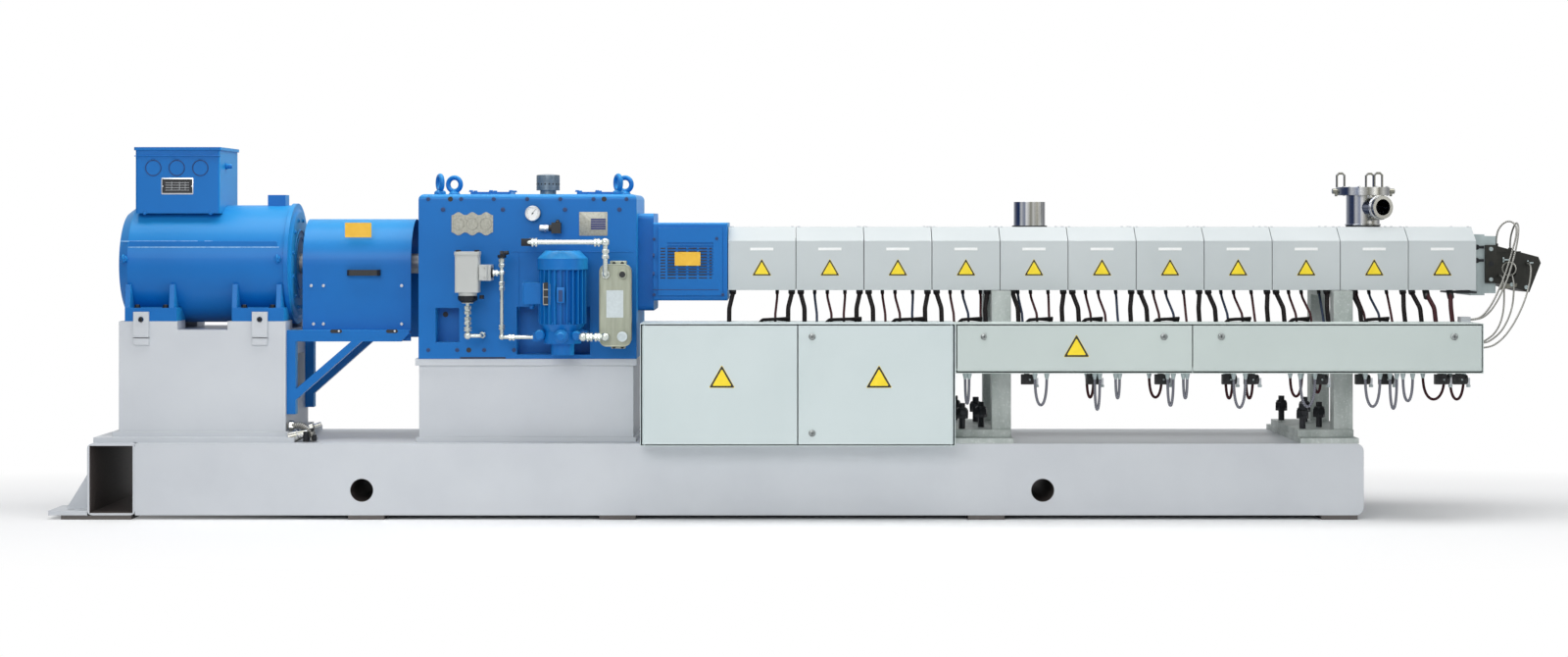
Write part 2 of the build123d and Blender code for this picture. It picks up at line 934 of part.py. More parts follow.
# Gearbox pedestal: box with a bottom flange and a thick top flange
gear_stand_left = gearbox_left
gear_stand_right = gearbox_right - gear_foot_overhang
with BuildPart() as gearbox_pedestal:
    block(
        gear_stand_left,
        gear_stand_right,
        -gear_stand_depth / 2,
        gear_stand_depth / 2,
        base_top,
        gearbox_bottom,
    )
    block(
        gear_stand_left - gear_stand_flange_out,
        gear_stand_right + gear_stand_flange_out,
        -gear_stand_depth / 2 - gear_stand_flange_out,
        gear_stand_depth / 2 + gear_stand_flange_out,
        base_top,
        base_top + gear_stand_flange,
    )
    block(
        gear_stand_left - gear_foot_overhang,
        gear_stand_right + gear_foot_overhang,
        -gear_stand_depth / 2 - gear_foot_overhang,
        gear_stand_depth / 2 + gear_foot_overhang,
        gearbox_bottom - gear_foot_thickness,
        gearbox_bottom,
    )
gearbox_pedestal.part.label = "gearbox_pedestal"
export_step(gearbox_pedestal.part, "parts/gearbox_pedestal.step")

# Gearbox housing with two pockets low on the front and on the back
with BuildPart() as gearbox_housing:
    block(gearbox_left, gearbox_right, -half_gearbox, half_gearbox, gearbox_bottom, gearbox_top)
    upper_edges = gearbox_housing.edges().group_by(Axis.Z)[-1]
    fillet(upper_edges, radius=gearbox_edge)
    for side in (-1, 1):
        outer = side * (half_gearbox + overrun)
        inner = side * (half_gearbox - pocket_depth)
        for start, width, low, height in (
            (left_pocket_start, left_pocket_width, left_pocket_low, left_pocket_height),
            (right_pocket_start, right_pocket_width, right_pocket_low, right_pocket_height),
        ):
            block(
                gearbox_left + start,
                gearbox_left + start + width,
                min(outer, inner),
                max(outer, inner),
                gearbox_bottom + low,
                gearbox_bottom + low + height,
                mode=Mode.SUBTRACT,
            )
gearbox_housing.part.label = "gearbox_housing"
export_step(gearbox_housing.part, "parts/gearbox_housing.step")

# Four lifting eyes on the gearbox
with BuildPart() as eye_bolts:
    for x in (gearbox_left + eye_inset, gearbox_right - eye_inset):
        for y in (-eye_spacing / 2, eye_spacing / 2):
            with BuildSketch(Plane.XY.offset(gearbox_top)):
                with Locations((x, y)):
                    RegularPolygon(eye_collar_radius, rod_sides)
            extrude(amount=eye_collar_height)
            ring_height = gearbox_top + eye_collar_height + eye_ring_radius + eye_wire_radius / 2
            with BuildSketch(Plane.XZ.offset(-y)):
                with Locations((x, ring_height)):
                    RegularPolygon(eye_ring_radius + eye_wire_radius, eye_ring_sides)
                    RegularPolygon(
                        eye_ring_radius - eye_wire_radius,
                        eye_ring_sides,
                        mode=Mode.SUBTRACT,
                    )
            extrude(amount=eye_wire_radius, both=True)
eye_bolts.part.label = "eye_bolts"
export_step(eye_bolts.part, "parts/eye_bolts.step")

# Inspection plates on top of the gearbox
with BuildPart() as inspection_plates:
    for start in (plate_left_start, plate_right_start):
        left = gearbox_left + start
        block(
            left,
            left + plate_length,
            -plate_width / 2,
            plate_width / 2,
            gearbox_top,
            gearbox_top + plate_thickness,
        )
inspection_plates.part.label = "inspection_plates"
export_step(inspection_plates.part, "parts/inspection_plates.step")

# Breather cap on its neck
with BuildPart() as breather:
    centre = gearbox_left + breather_start
    with BuildSketch(Plane.XY.offset(gearbox_top)):
        with Locations((centre, 0)):
            Circle(breather_neck_radius)
    extrude(amount=breather_neck_height)
    with BuildSketch(Plane.XY.offset(gearbox_top + breather_neck_height)):
        with Locations((centre, 0)):
            Circle(breather_radius)
    extrude(amount=breather_height)
breather.part.label = "breather"
export_step(breather.part, "parts/breather.step")

# Oil filter with its port block, held on the gearbox wall
filter_axis = gearbox_left + filter_x
with BuildPart() as oil_filter:
    filter_bottom = gearbox_bottom + filter_rise
    filter_top = filter_bottom + filter_height
    with BuildSketch(Plane.XZ.offset(oil_plane)):
        with BuildLine():
            Polyline(
                (filter_axis, gearbox_bottom + filter_neck_rise),
                (filter_axis + filter_neck_radius, gearbox_bottom + filter_neck_rise),
                (filter_axis + filter_bowl_radius, filter_bottom - filter_bowl_drop),
                (filter_axis + filter_bowl_radius, filter_bottom),
                (filter_axis, filter_bottom),
                close=True,
            )
        make_face()
    revolve(axis=Axis((filter_axis, -oil_plane, 0), (0, 0, 1)))
    with BuildSketch(Plane.XY.offset(filter_bottom)):
        with Locations((filter_axis, -oil_plane)):
            RectangleRounded(filter_width, filter_depth, filter_corner)
    extrude(amount=filter_height)
    with BuildSketch(Plane.XY.offset(filter_top)):
        with Locations((filter_axis, -oil_plane)):
            RectangleRounded(
                filter_width + 2 * filter_cap_out,
                filter_depth + 2 * filter_cap_out,
                filter_corner + filter_cap_out,
            )
    extrude(amount=filter_cap_height)
    filter_block_right = filter_axis + filter_width / 2 + filter_block_length
    block(
        filter_axis,
        filter_block_right,
        -oil_plane - filter_neck_radius,
        -half_gearbox,
        gearbox_bottom + filter_block_rise,
        gearbox_bottom + filter_block_rise + filter_block_height,
    )
oil_filter.part.label = "oil_filter"
export_step(oil_filter.part, "parts/oil_filter.step")

# Oil pump with its foot, inlet and outlet bosses and the arm to the wall of the pocket
pump_axis = gearbox_left + pump_x
pump_bottom = gearbox_bottom + pump_rise
pump_top = pump_bottom + pump_height
suction_height = gearbox_bottom + suction_rise
return_height = gearbox_bottom + return_rise
with BuildPart() as oil_pump:
    with BuildSketch(Plane.XY.offset(gearbox_bottom + pump_foot_rise)):
        with Locations((pump_axis, -pump_depth)):
            Circle(pump_foot_radius)
    extrude(amount=pump_rise - pump_foot_rise)
    with BuildSketch(Plane.XY.offset(pump_bottom)):
        with Locations((pump_axis, -pump_depth)):
            Circle(pump_radius)
    extrude(amount=pump_height)
    block(
        pump_axis - pump_arm_width / 2,
        pump_axis + pump_arm_width / 2,
        -pump_depth,
        -half_gearbox + pocket_depth,
        pump_bottom,
        pump_bottom + pump_arm_height,
    )
    block(
        pump_axis - pump_inlet_reach,
        pump_axis,
        -oil_plane - pump_inlet_depth / 2,
        -oil_plane + pump_inlet_depth / 2,
        suction_height - pump_inlet_height / 2,
        suction_height + pump_inlet_height / 2,
    )
    block(
        pump_axis,
        pump_axis + pump_outlet_reach,
        -pump_outlet_front,
        -pump_outlet_front + pump_outlet_depth,
        return_height - pump_outlet_height / 2,
        return_height + pump_outlet_height / 2,
    )
oil_pump.part.label = "oil_pump"
export_step(oil_pump.part, "parts/oil_pump.step")

# Pump motor: bell, finned body, terminal box and fan cover
bell_top = pump_top + pump_bell_height
fan_bottom = gearbox_bottom + pump_fan_rise
fan_top = fan_bottom + pump_fan_height
with BuildPart() as pump_motor:
    with BuildSketch(Plane.XZ.offset(pump_depth)):
        with BuildLine():
            Polyline(
                (pump_axis, pump_top),
                (pump_axis + pump_radius, pump_top),
                (pump_axis + pump_bell_radius, bell_top),
                (pump_axis + pump_motor_radius, bell_top),
                (pump_axis + pump_motor_radius, fan_bottom),
                (pump_axis + pump_fan_radius, fan_bottom),
                (pump_axis + pump_fan_radius, fan_top - pump_fan_dome),
                (pump_axis + pump_fan_radius - pump_fan_dome, fan_top),
                (pump_axis, fan_top),
                close=True,
            )
        make_face()
    revolve(axis=Axis((pump_axis, -pump_depth, 0), (0, 0, 1)))
    with BuildSketch(Plane.XY.offset(bell_top)):
        with Locations((pump_axis, -pump_depth)):
            with PolarLocations(0, pump_fin_count):
                with Locations((pump_fin_radius / 2, 0)):
                    Rectangle(pump_fin_radius, pump_fin_thickness)
    extrude(amount=fan_bottom - bell_top)
    block(
        pump_axis - pump_fin_radius - pump_box_length,
        pump_axis,
        -pump_depth - pump_box_depth / 2,
        -pump_depth + pump_box_depth / 2,
        gearbox_bottom + pump_box_rise,
        gearbox_bottom + pump_box_rise + pump_box_height,
    )
pump_motor.part.label = "pump_motor"
export_step(pump_motor.part, "parts/pump_motor.step")

# Plate heat exchanger on two arms, with two stubs on its right side
exchanger_axis = gearbox_left + exchanger_left + exchanger_width / 2
exchanger_bottom = gearbox_bottom + exchanger_rise
exchanger_top = exchanger_bottom + exchanger_height
with BuildPart() as heat_exchanger:
    with BuildSketch(Plane.XZ.offset(exchanger_front)):
        with Locations((exchanger_axis, exchanger_bottom + exchanger_height / 2)):
            RectangleRounded(exchanger_width, exchanger_height, exchanger_corner)
    extrude(amount=-exchanger_depth)
    for low in (
        exchanger_bottom + exchanger_rim,
        exchanger_top - exchanger_rim - exchanger_arm_height,
    ):
        block(
            exchanger_axis - exchanger_arm_width / 2,
            exchanger_axis + exchanger_arm_width / 2,
            -exchanger_front + exchanger_depth,
            -half_gearbox,
            low,
            low + exchanger_arm_height,
        )
    stub_x = exchanger_axis + exchanger_width / 2 - exchanger_stub_inset
    with BuildSketch(Plane.XZ.offset(exchanger_front)):
        with Locations(
            (stub_x, exchanger_bottom + exchanger_port_rim),
            (stub_x, exchanger_top - exchanger_port_rim),
        ):
            Circle(exchanger_stub_radius)
    extrude(amount=exchanger_stub_length)
heat_exchanger.part.label = "heat_exchanger"
export_step(heat_exchanger.part, "parts/heat_exchanger.step")

# Oil pipes: riser from the filter to the pump, return under the filter, supply over the pump
# motor and the run from the pump to the heat exchanger
riser = gearbox_left + riser_x
riser_top = gearbox_bottom + riser_top_rise
drain = gearbox_left + return_x
supply = gearbox_left + supply_x
supply_height = gearbox_bottom + supply_rise
outlet_x = pump_axis + pump_outlet_x
port_x = exchanger_axis - exchanger_width / 2 + exchanger_port_inset
low_port = exchanger_bottom + exchanger_port_rim
high_port = exchanger_top - exchanger_port_rim
tee_height = gearbox_bottom + filter_block_rise + filter_block_height / 2
pipe_routes = (
    (
        (riser, -oil_plane, riser_top),
        (riser, -oil_plane, suction_height),
        (pump_axis - pump_inlet_reach, -oil_plane, suction_height),
    ),
    (
        (filter_axis, -oil_plane, gearbox_bottom + filter_neck_rise),
        (filter_axis, -oil_plane, return_height),
        (drain, -oil_plane, return_height),
        (drain, -half_gearbox, return_height),
    ),
    (
        (supply, -half_gearbox, supply_height),
        (supply, -supply_front, supply_height),
        (port_x, -supply_front, supply_height),
        (port_x, -supply_front, high_port),
        (port_x, -exchanger_front, high_port),
    ),
    (
        (outlet_x, -pump_outlet_front, return_height),
        (outlet_x, -supply_front, return_height),
        (port_x, -supply_front, low_port),
        (port_x, -exchanger_front, low_port),
    ),
)
nut_places = (
    ((riser, -oil_plane, riser_top), (0, 0, -1)),
    ((pump_axis - pump_inlet_reach, -oil_plane, suction_height), (-1, 0, 0)),
    ((filter_axis, -oil_plane, gearbox_bottom + filter_neck_rise), (0, 0, -1)),
    ((drain, -half_gearbox, return_height), (0, -1, 0)),
    ((supply, -half_gearbox, supply_height), (0, -1, 0)),
    ((port_x, -exchanger_front, high_port), (0, -1, 0)),
    ((outlet_x, -pump_outlet_front, return_height), (0, -1, 0)),
    ((port_x, -exchanger_front, low_port), (0, -1, 0)),
    ((filter_block_right, -oil_plane, tee_height), (1, 0, 0)),
)
with BuildPart() as oil_pipes:
    for route in pipe_routes:
        with BuildLine():
            FilletPolyline(*route, radius=bend_radii(route, pipe_bend))
        start_run = Vector(*route[1]) - Vector(*route[0])
        with BuildSketch(Plane(origin=route[0], z_dir=start_run)):
            RegularPolygon(pipe_radius, rod_sides)
        sweep()
    for place, direction in nut_places:
        with BuildSketch(Plane(origin=place, z_dir=direction)):
            RegularPolygon(pipe_nut_radius, nut_sides)
        extrude(amount=pipe_nut_length)
    with BuildSketch(Plane.YZ.offset(filter_block_right)):
        with Locations((-oil_plane, tee_height)):
            RegularPolygon(pipe_radius, rod_sides)
    extrude(amount=riser - filter_block_right)
oil_pipes.part.label = "oil_pipes"
export_step(oil_pipes.part, "parts/oil_pipes.step")

# Dial gauge on the gearbox wall
with BuildPart() as oil_gauge:
    with BuildSketch(Plane.XZ.offset(half_gearbox)):
        with Locations((gearbox_left + gauge_x, gearbox_bottom + gauge_rise)):
            Circle(gauge_radius)
    extrude(amount=gauge_thickness)
oil_gauge.part.label = "oil_gauge"
export_step(oil_gauge.part, "parts/oil_gauge.step")

# Sensor on a stem with its black plug
with BuildPart() as oil_sensor:
    sensor_left = gearbox_left + sensor_x
    sensor_line = gearbox_bottom + sensor_rise
    sensor_front = half_gearbox + sensor_out
    with BuildSketch(Plane.XZ.offset(half_gearbox)):
        with Locations((sensor_left + sensor_stem_x, sensor_line)):
            Circle(sensor_stem_radius)
    extrude(amount=sensor_out)
    with BuildSketch(Plane.YZ.offset(sensor_left)):
        with Locations((-sensor_front, sensor_line)):
            Circle(sensor_radius)
    extrude(amount=sensor_length)
    block(
        sensor_left + sensor_length,
        sensor_left + sensor_length + sensor_plug_length,
        -sensor_front - sensor_plug_depth / 2,
        -sensor_front + sensor_plug_depth / 2,
        sensor_line - sensor_plug_size / 2,
        sensor_line + sensor_plug_size / 2,
    )
oil_sensor.part.label = "oil_sensor"
export_step(oil_sensor.part, "parts/oil_sensor.step")

# Flange between gearbox and lantern
with BuildPart() as output_flange:
    block(
        gearbox_right,
        lantern_left,
        -flange_width / 2,
        flange_width / 2,
        axis_height - flange_drop,
        axis_height - flange_drop + flange_height,
    )
    fillet(output_flange.edges().filter_by(Axis.X), radius=gearbox_edge)
output_flange.part.label = "output_flange"
export_step(output_flange.part, "parts/output_flange.step")

# Lantern housing with louvred panels on both sides
lantern_bottom = axis_height - lantern_drop
lantern_top = lantern_bottom + lantern_height
with BuildPart() as lantern_housing:
    block(
        lantern_left,
        lantern_right,
        -lantern_width / 2,
        lantern_width / 2,
        lantern_bottom,
        lantern_top,
    )
    fillet(lantern_housing.edges().filter_by(Axis.X), radius=lantern_edge)
    for side in (-1, 1):
        near = side * lantern_width / 2
        far = side * (lantern_width / 2 + lantern_panel)
        block(
            lantern_left + lantern_panel_margin,
            lantern_right - lantern_panel_margin,
            min(near, far),
            max(near, far),
            lantern_bottom + lantern_panel_margin,
            lantern_top - lantern_panel_margin,
        )
        for row in range(louvre_count):
            top = lantern_top - louvre_drop - row * louvre_pitch
            cut_in = side * (lantern_width / 2 + lantern_panel - louvre_depth)
            cut_out = side * (lantern_width / 2 + lantern_panel + overrun)
            middle = (lantern_left + lantern_right) / 2
            block(
                middle - louvre_length / 2,
                middle + louvre_length / 2,
                min(cut_in, cut_out),
                max(cut_in, cut_out),
                top - louvre_height,
                top,
                mode=Mode.SUBTRACT,
            )
lantern_housing.part.label = "lantern_housing"
export_step(lantern_housing.part, "parts/lantern_housing.step")

# Barrel: eleven sections bolted flange to flange, with a groove at each joint
with BuildPart() as barrel:
    block(
        lantern_right,
        covers_end,
        -barrel_size / 2,
        barrel_size / 2,
        axis_height - barrel_size / 2,
        barrel_top,
    )
    for joint in range(cover_count + 1):
        station = covers_start + joint * cover_pitch
        block(
            max(station - barrel_flange_length, lantern_right),
            min(station + barrel_flange_length, covers_end),
            -barrel_flange_size / 2,
            barrel_flange_size / 2,
            axis_height - barrel_flange_size / 2,
            axis_height + barrel_flange_size / 2,
        )
    groove = barrel_flange_size - 2 * barrel_joint_depth
    for joint in range(1, cover_count):
        with BuildSketch(Plane.YZ.offset(covers_start + joint * cover_pitch - barrel_joint_gap / 2)):
            with Locations((0, axis_height)):
                Rectangle(barrel_flange_size + overrun, barrel_flange_size + overrun)
                Rectangle(groove, groove, mode=Mode.SUBTRACT)
        extrude(amount=barrel_joint_gap, mode=Mode.SUBTRACT)
barrel.part.label = "barrel"
export_step(barrel.part, "parts/barrel.step")

# Brackets that carry the covers on the barrel
with BuildPart() as cover_brackets:
    for number in range(cover_count):
        middle = covers_start + (number + 0.5) * cover_pitch
        for shift in (-bracket_spacing / 2, bracket_spacing / 2):
            block(
                middle + shift - bracket_thickness / 2,
                middle + shift + bracket_thickness / 2,
                -bracket_width / 2,
                bracket_width / 2,
                barrel_top,
                cover_top - cover_wall,
            )
cover_brackets.part.label = "cover_brackets"
export_step(cover_brackets.part, "parts/cover_brackets.step")

# Eleven covers, open below, notched for the barrel, two of them holed for the vents
with BuildPart() as barrel_covers:
    for number in range(cover_count):
        start = covers_start + number * cover_pitch
        length = cover_pitch - cover_gap
        for inset, mode in ((0, Mode.ADD), (cover_wall, Mode.SUBTRACT)):
            half = cover_width / 2 - inset
            low = cover_bottom if mode == Mode.ADD else cover_bottom - overrun
            with BuildSketch(Plane.YZ.offset(start + inset)):
                with BuildLine():
                    Polyline(
                        (-half, low),
                        (half, low),
                        (half, cover_shoulder),
                        (half - cover_slope, cover_top - inset),
                        (-half + cover_slope, cover_top - inset),
                        (-half, cover_shoulder),
                        close=True,
                    )
                make_face()
            extrude(amount=length - 2 * inset, mode=mode)
        block(
            start - overrun,
            start + length + overrun,
            -barrel_flange_size / 2 - sheet_gap,
            barrel_flange_size / 2 + sheet_gap,
            cover_bottom - overrun,
            axis_height + barrel_flange_size / 2 + sheet_gap,
            mode=Mode.SUBTRACT,
        )
        vent_radius = {tube_index: tube_radius, port_index: port_radius}.get(number)
        if vent_radius:
            with Locations((start + cover_pitch / 2, 0, cover_top)):
                Cylinder(vent_radius + sheet_gap, overrun, mode=Mode.SUBTRACT)
barrel_covers.part.label = "barrel_covers"
export_step(barrel_covers.part, "parts/barrel_covers.step")

# Open vent tube on the fifth barrel
tube_x = covers_start + (tube_index + 0.5) * cover_pitch
with BuildPart() as vent_tube:
    with BuildSketch(Plane.XY.offset(barrel_top)):
        with Locations((tube_x, 0)):
            Circle(tube_radius)
            Circle(tube_bore, mode=Mode.SUBTRACT)
    extrude(amount=axis_height + tube_rise - barrel_top)
vent_tube.part.label = "vent_tube"
export_step(vent_tube.part, "parts/vent_tube.step")

# Vacuum port on the tenth barrel: body with a side outlet that ends in a ring
vacuum_x = covers_start + (port_index + 0.5) * cover_pitch
lid_bottom = axis_height + port_rise
outlet_turn = math.radians(outlet_angle)
outlet_direction = (math.sin(outlet_turn), -math.cos(outlet_turn), 0)
with BuildPart() as vacuum_port:
    with BuildSketch(Plane.XY.offset(barrel_top)):
        with Locations((vacuum_x, 0)):
            Circle(port_radius)
    extrude(amount=lid_bottom - barrel_top)
    with BuildSketch(Plane.XY.offset(lid_bottom - port_lid_thickness)):
        with Locations((vacuum_x, 0)):
            Circle(port_lid_radius)
    extrude(amount=port_lid_thickness)
    outlet_plane = Plane(origin=(vacuum_x, 0, axis_height + outlet_rise), z_dir=outlet_direction)
    with BuildSketch(outlet_plane):
        Circle(outlet_radius)
    extrude(amount=outlet_reach)
    with BuildSketch(outlet_plane.offset(outlet_reach - outlet_ring_length)):
        Circle(outlet_ring_radius)
    extrude(amount=outlet_ring_length)
    with BuildSketch(Plane.XY.offset(barrel_top)):
        with Locations((vacuum_x, 0)):
            Circle(port_bore)
    extrude(amount=lid_bottom - barrel_top, mode=Mode.SUBTRACT)
    with BuildSketch(outlet_plane):
        Circle(outlet_bore)
    extrude(amount=outlet_reach, mode=Mode.SUBTRACT)
vacuum_port.part.label = "vacuum_port"
export_step(vacuum_port.part, "parts/vacuum_port.step")

# Lid of the vacuum port with three clamp bows round its rim
lid_top = lid_bottom + port_lid_thickness
with BuildPart() as vacuum_lid:
    with BuildSketch(Plane.XY.offset(lid_bottom)):
        with Locations((vacuum_x, 0)):
            Circle(port_lid_radius)
    extrude(amount=port_lid_thickness)
    for number in range(clamp_count):
        turn = math.pi + number * 2 * math.pi / clamp_count
        bow_x = vacuum_x + clamp_circle * math.cos(turn)
        bow_y = clamp_circle * math.sin(turn)
        bow = (
            (bow_x - clamp_width / 2, bow_y, lid_top),
            (bow_x - clamp_width / 2, bow_y, lid_top + clamp_height),
            (bow_x + clamp_width / 2, bow_y, lid_top + clamp_height),
            (bow_x + clamp_width / 2, bow_y, lid_top),
        )
        with BuildLine():
            Polyline(*eased_route(bow, clamp_bend))
        with BuildSketch(Plane(origin=bow[0], z_dir=(0, 0, 1))):
            RegularPolygon(clamp_rod_radius, nut_sides)
        sweep(transition=Transition.RIGHT)
vacuum_lid.part.label = "vacuum_lid"
export_step(vacuum_lid.part, "parts/vacuum_lid.step")

# Die adapter: two plates behind the last barrel
adapter_right = covers_end + adapter_length
die_left = adapter_right + die_flange_length
with BuildPart() as die_adapter:
    for left, right, drop, height in (
        (covers_end, adapter_right, adapter_drop, adapter_height),
        (adapter_right, die_left, die_flange_drop, die_flange_height),
    ):
        block(
            left,
            right,
            -adapter_width / 2,
            adapter_width / 2,
            axis_height - drop,
            axis_height - drop + height,
        )
die_adapter.part.label = "die_adapter"
export_step(die_adapter.part, "parts/die_adapter.step")

# Routes of the braided leads: the first points are counted from the die's left edge on the shaft
# line, the last ones from the upper right edge of the trough
lead_routes = {
    "die_lead_a": (
        (
            (9, -100, 91),
            (9, -100, 131),
            (28, -104, 173),
            (60, -118, 195),
            (88, -142, 175),
            (82, -162, 125),
            (62, -176, 65),
            (38, -196, 1),
        ),
        (
            (173, -228, 188),
            (137, -272, 130),
            (97, -322, 78),
            (57, -364, 38),
            (15, -392, 12),
            (-25, -392, 12),
        ),
    ),
    "die_lead_b": (
        (
            (90, -30, 71),
            (90, -30, 109),
            (96, -50, 155),
            (100, -92, 187),
            (98, -142, 171),
            (88, -170, 123),
            (72, -188, 61),
            (50, -206, -3),
        ),
        (
            (187, -236, 184),
            (151, -278, 126),
            (111, -326, 76),
            (69, -372, 38),
            (19, -412, 12),
            (-25, -412, 12),
        ),
    ),
    "die_lead_c": (
        (
            (59, -138, -45),
            (59, -178, -45),
            (58, -208, -81),
            (52, -230, -131),
        ),
        (
            (203, -258, 62),
            (173, -298, 6),
            (131, -342, -44),
            (83, -376, -76),
            (48, -392, -91),
            (10, -392, -91),
        ),
    ),
    "die_lead_d": (
        (
            (136, -152, 2),
            (136, -194, 2),
            (130, -224, -37),
            (114, -248, -95),
        ),
        (
            (251, -282, 90),
            (211, -326, 28),
            (165, -370, -30),
            (115, -404, -78),
            (59, -424, -110),
            (10, -424, -110),
        ),
    ),
    "die_lead_e": (
        (
            (12, -152, -51),
            (12, -192, -51),
            (11, -220, -87),
            (7, -240, -139),
        ),
        (
            (163, -266, 52),
            (141, -302, -4),
            (105, -340, -50),
            (69, -360, -74),
            (41, -368, -88),
            (10, -368, -88),
        ),
    ),
}
lead_lines = {}
for lead_name, (from_die, from_trough) in lead_routes.items():
    lead_lines[lead_name] = [Vector(*point) + Vector(die_left, 0, axis_height) for point in from_die]
    lead_lines[lead_name] += [Vector(*point) + Vector(trough_right, 0, cabinet_top) for point in from_trough]

# Strand die: slanted block with a row of outlets in its lower right face, a round recess in
# front and bosses where the leads leave it
die_front = die_width / 2
nose = Vector(die_left + die_nose_length, 0, axis_height + die_nose_rise)
heel = Vector(die_left + die_heel_length, 0, axis_height - die_heel_drop)
outward = Vector(0, 1, 0).cross(nose - heel)
outlet_face = Plane(origin=(nose + heel) / 2, x_dir=(0, 1, 0), z_dir=outward)
with BuildPart() as die_head:
    with BuildSketch(Plane.XZ.offset(die_front)):
        with BuildLine():
            Polyline(
                (die_left, axis_height - die_left_drop),
                (die_left, axis_height - die_left_drop + die_left_height),
                (die_left + die_top_length, axis_height + die_top_rise),
                (nose.X, nose.Z),
                (heel.X, heel.Z),
                close=True,
            )
        make_face()
    extrude(amount=-die_width)
    with BuildSketch(outlet_face):
        with GridLocations(strand_pitch, strand_pitch, strand_count, 1):
            RegularPolygon(strand_radius, rod_sides)
    extrude(amount=-strand_depth, mode=Mode.SUBTRACT)
    with BuildSketch(Plane.XZ.offset(die_front)):
        with Locations((die_left + dimple_x, axis_height - dimple_drop)):
            Circle(dimple_radius)
    extrude(amount=-dimple_depth, mode=Mode.SUBTRACT)
    for line in lead_lines.values():
        with BuildSketch(Plane(origin=line[0], z_dir=line[0] - line[1])):
            RegularPolygon(lead_boss_radius, rod_sides)
        extrude(amount=lead_boss_root)
die_head.part.label = "die_head"
export_step(die_head.part, "parts/die_head.step")

# Where the leads go into the trough: a block on its top, and glands in its end
block_right = trough_right - lead_block_inset
with BuildPart() as lead_glands:
    block(
        block_right - lead_block_length,
        block_right,
        -lead_block_front,
        -lead_block_front + lead_block_depth,
        cabinet_top,
        cabinet_top + lead_block_height,
    )
    for line in lead_lines.values():
        if line[-1].X > trough_right:
            with BuildSketch(Plane.YZ.offset(trough_right)):
                with Locations((line[-1].Y, line[-1].Z)):
                    RegularPolygon(end_gland_radius, rod_sides)
            extrude(amount=end_gland_length)
lead_glands.part.label = "lead_glands"
export_step(lead_glands.part, "parts/lead_glands.step")

# Braided leads that hang between the die and the trough
for lead_name, line in lead_lines.items():
    with BuildPart() as die_lead:
        with BuildLine():
            Polyline(*line)
        with BuildSketch(Plane(origin=line[0], z_dir=line[1] - line[0])):
            RegularPolygon(lead_radius, rod_sides)
        sweep(transition=Transition.RIGHT)
    die_lead.part.label = lead_name
    export_step(die_lead.part, f"parts/{lead_name}.step")

# Two support stands under the barrel, each on its pad
stand_base = base_top + stand_pad_thickness
stand_names = ("support_stand_left", "support_stand_right")
for stand_name, station in zip(stand_names, stand_places):
    with BuildPart() as support_stand:
        block(
            station - stand_pad_left,
            station + stand_pad_right,
            -half_base,
            half_base,
            base_top,
            stand_base,
        )
        block(
            station - stand_foot_left,
            station + stand_foot_right,
            -stand_foot_depth / 2,
            stand_foot_depth / 2,
            stand_base,
            stand_base + stand_foot_thickness,
        )
        for side in (-1, 1):
            near = side * column_inner
            far = side * (column_inner + column_depth)
            block(
                station - stand_width / 2,
                station + stand_width / 2,
                min(near, far),
                max(near, far),
                stand_base,
                saddle_top - saddle_thickness,
            )
        block(
            station - stand_width / 2,
            station + stand_width / 2,
            -column_inner - column_depth,
            column_inner + column_depth,
            saddle_top - saddle_thickness,
            saddle_top,
        )
    support_stand.part.label = stand_name
    export_step(support_stand.part, f"parts/{stand_name}.step")

# Jack studs with their nuts on the feet of the stands
foot_top = stand_base + stand_foot_thickness
with BuildPart() as jack_studs:
    for station in stand_places:
        for side in (-1, 1):
            stud_places = (
                (station - stud_outer_x, side * stud_outer_y),
                (station - stud_inner_x, side * stud_inner_y),
            )
            with BuildSketch(Plane.XY.offset(foot_top)):
                with Locations(stud_places):
                    RegularPolygon(stud_radius, rod_sides)
            extrude(amount=stud_height)
            with BuildSketch(Plane.XY.offset(foot_top + nut_rise)):
                with Locations(stud_places):
                    RegularPolygon(nut_radius, nut_sides)
            extrude(amount=nut_height)
jack_studs.part.label = "jack_studs"
export_step(jack_studs.part, "parts/jack_studs.step")

# Control cabinet: sheet box, open in front, with hinge pins in its top and bottom sheets
door_front = -front_plane
door_back = door_front + door_thickness
hinge_line = door_front + door_thickness / 2
door_low = base_top + wall_sheet + door_gap
door_high = cabinet_top - wall_sheet - door_gap
opening_left = cabinet_left + wall_sheet
opening_right = cabinet_right - wall_sheet
door_split = cabinet_left + (cabinet_right - cabinet_left) * door_split_share
left_hinge_x = opening_left + door_gap + door_thickness / 2
right_hinge_x = opening_right - door_gap - door_thickness / 2
with BuildPart() as cabinet_body:
    block(cabinet_left, cabinet_right, door_front, -cabinet_back, base_top, cabinet_top)
    block(
        opening_left,
        opening_right,
        door_front - overrun,
        -cabinet_back - wall_sheet,
        base_top + wall_sheet,
        cabinet_top - wall_sheet,
        mode=Mode.SUBTRACT,
    )
    pin_length = door_gap + hinge_reach
    for x in (left_hinge_x, right_hinge_x):
        for start in (base_top + wall_sheet, cabinet_top - wall_sheet - pin_length):
            with BuildSketch(Plane.XY.offset(start)):
                with Locations((x, hinge_line)):
                    Circle(hinge_radius)
            extrude(amount=pin_length)
cabinet_body.part.label = "cabinet_body"
export_step(cabinet_body.part, "parts/cabinet_body.step")

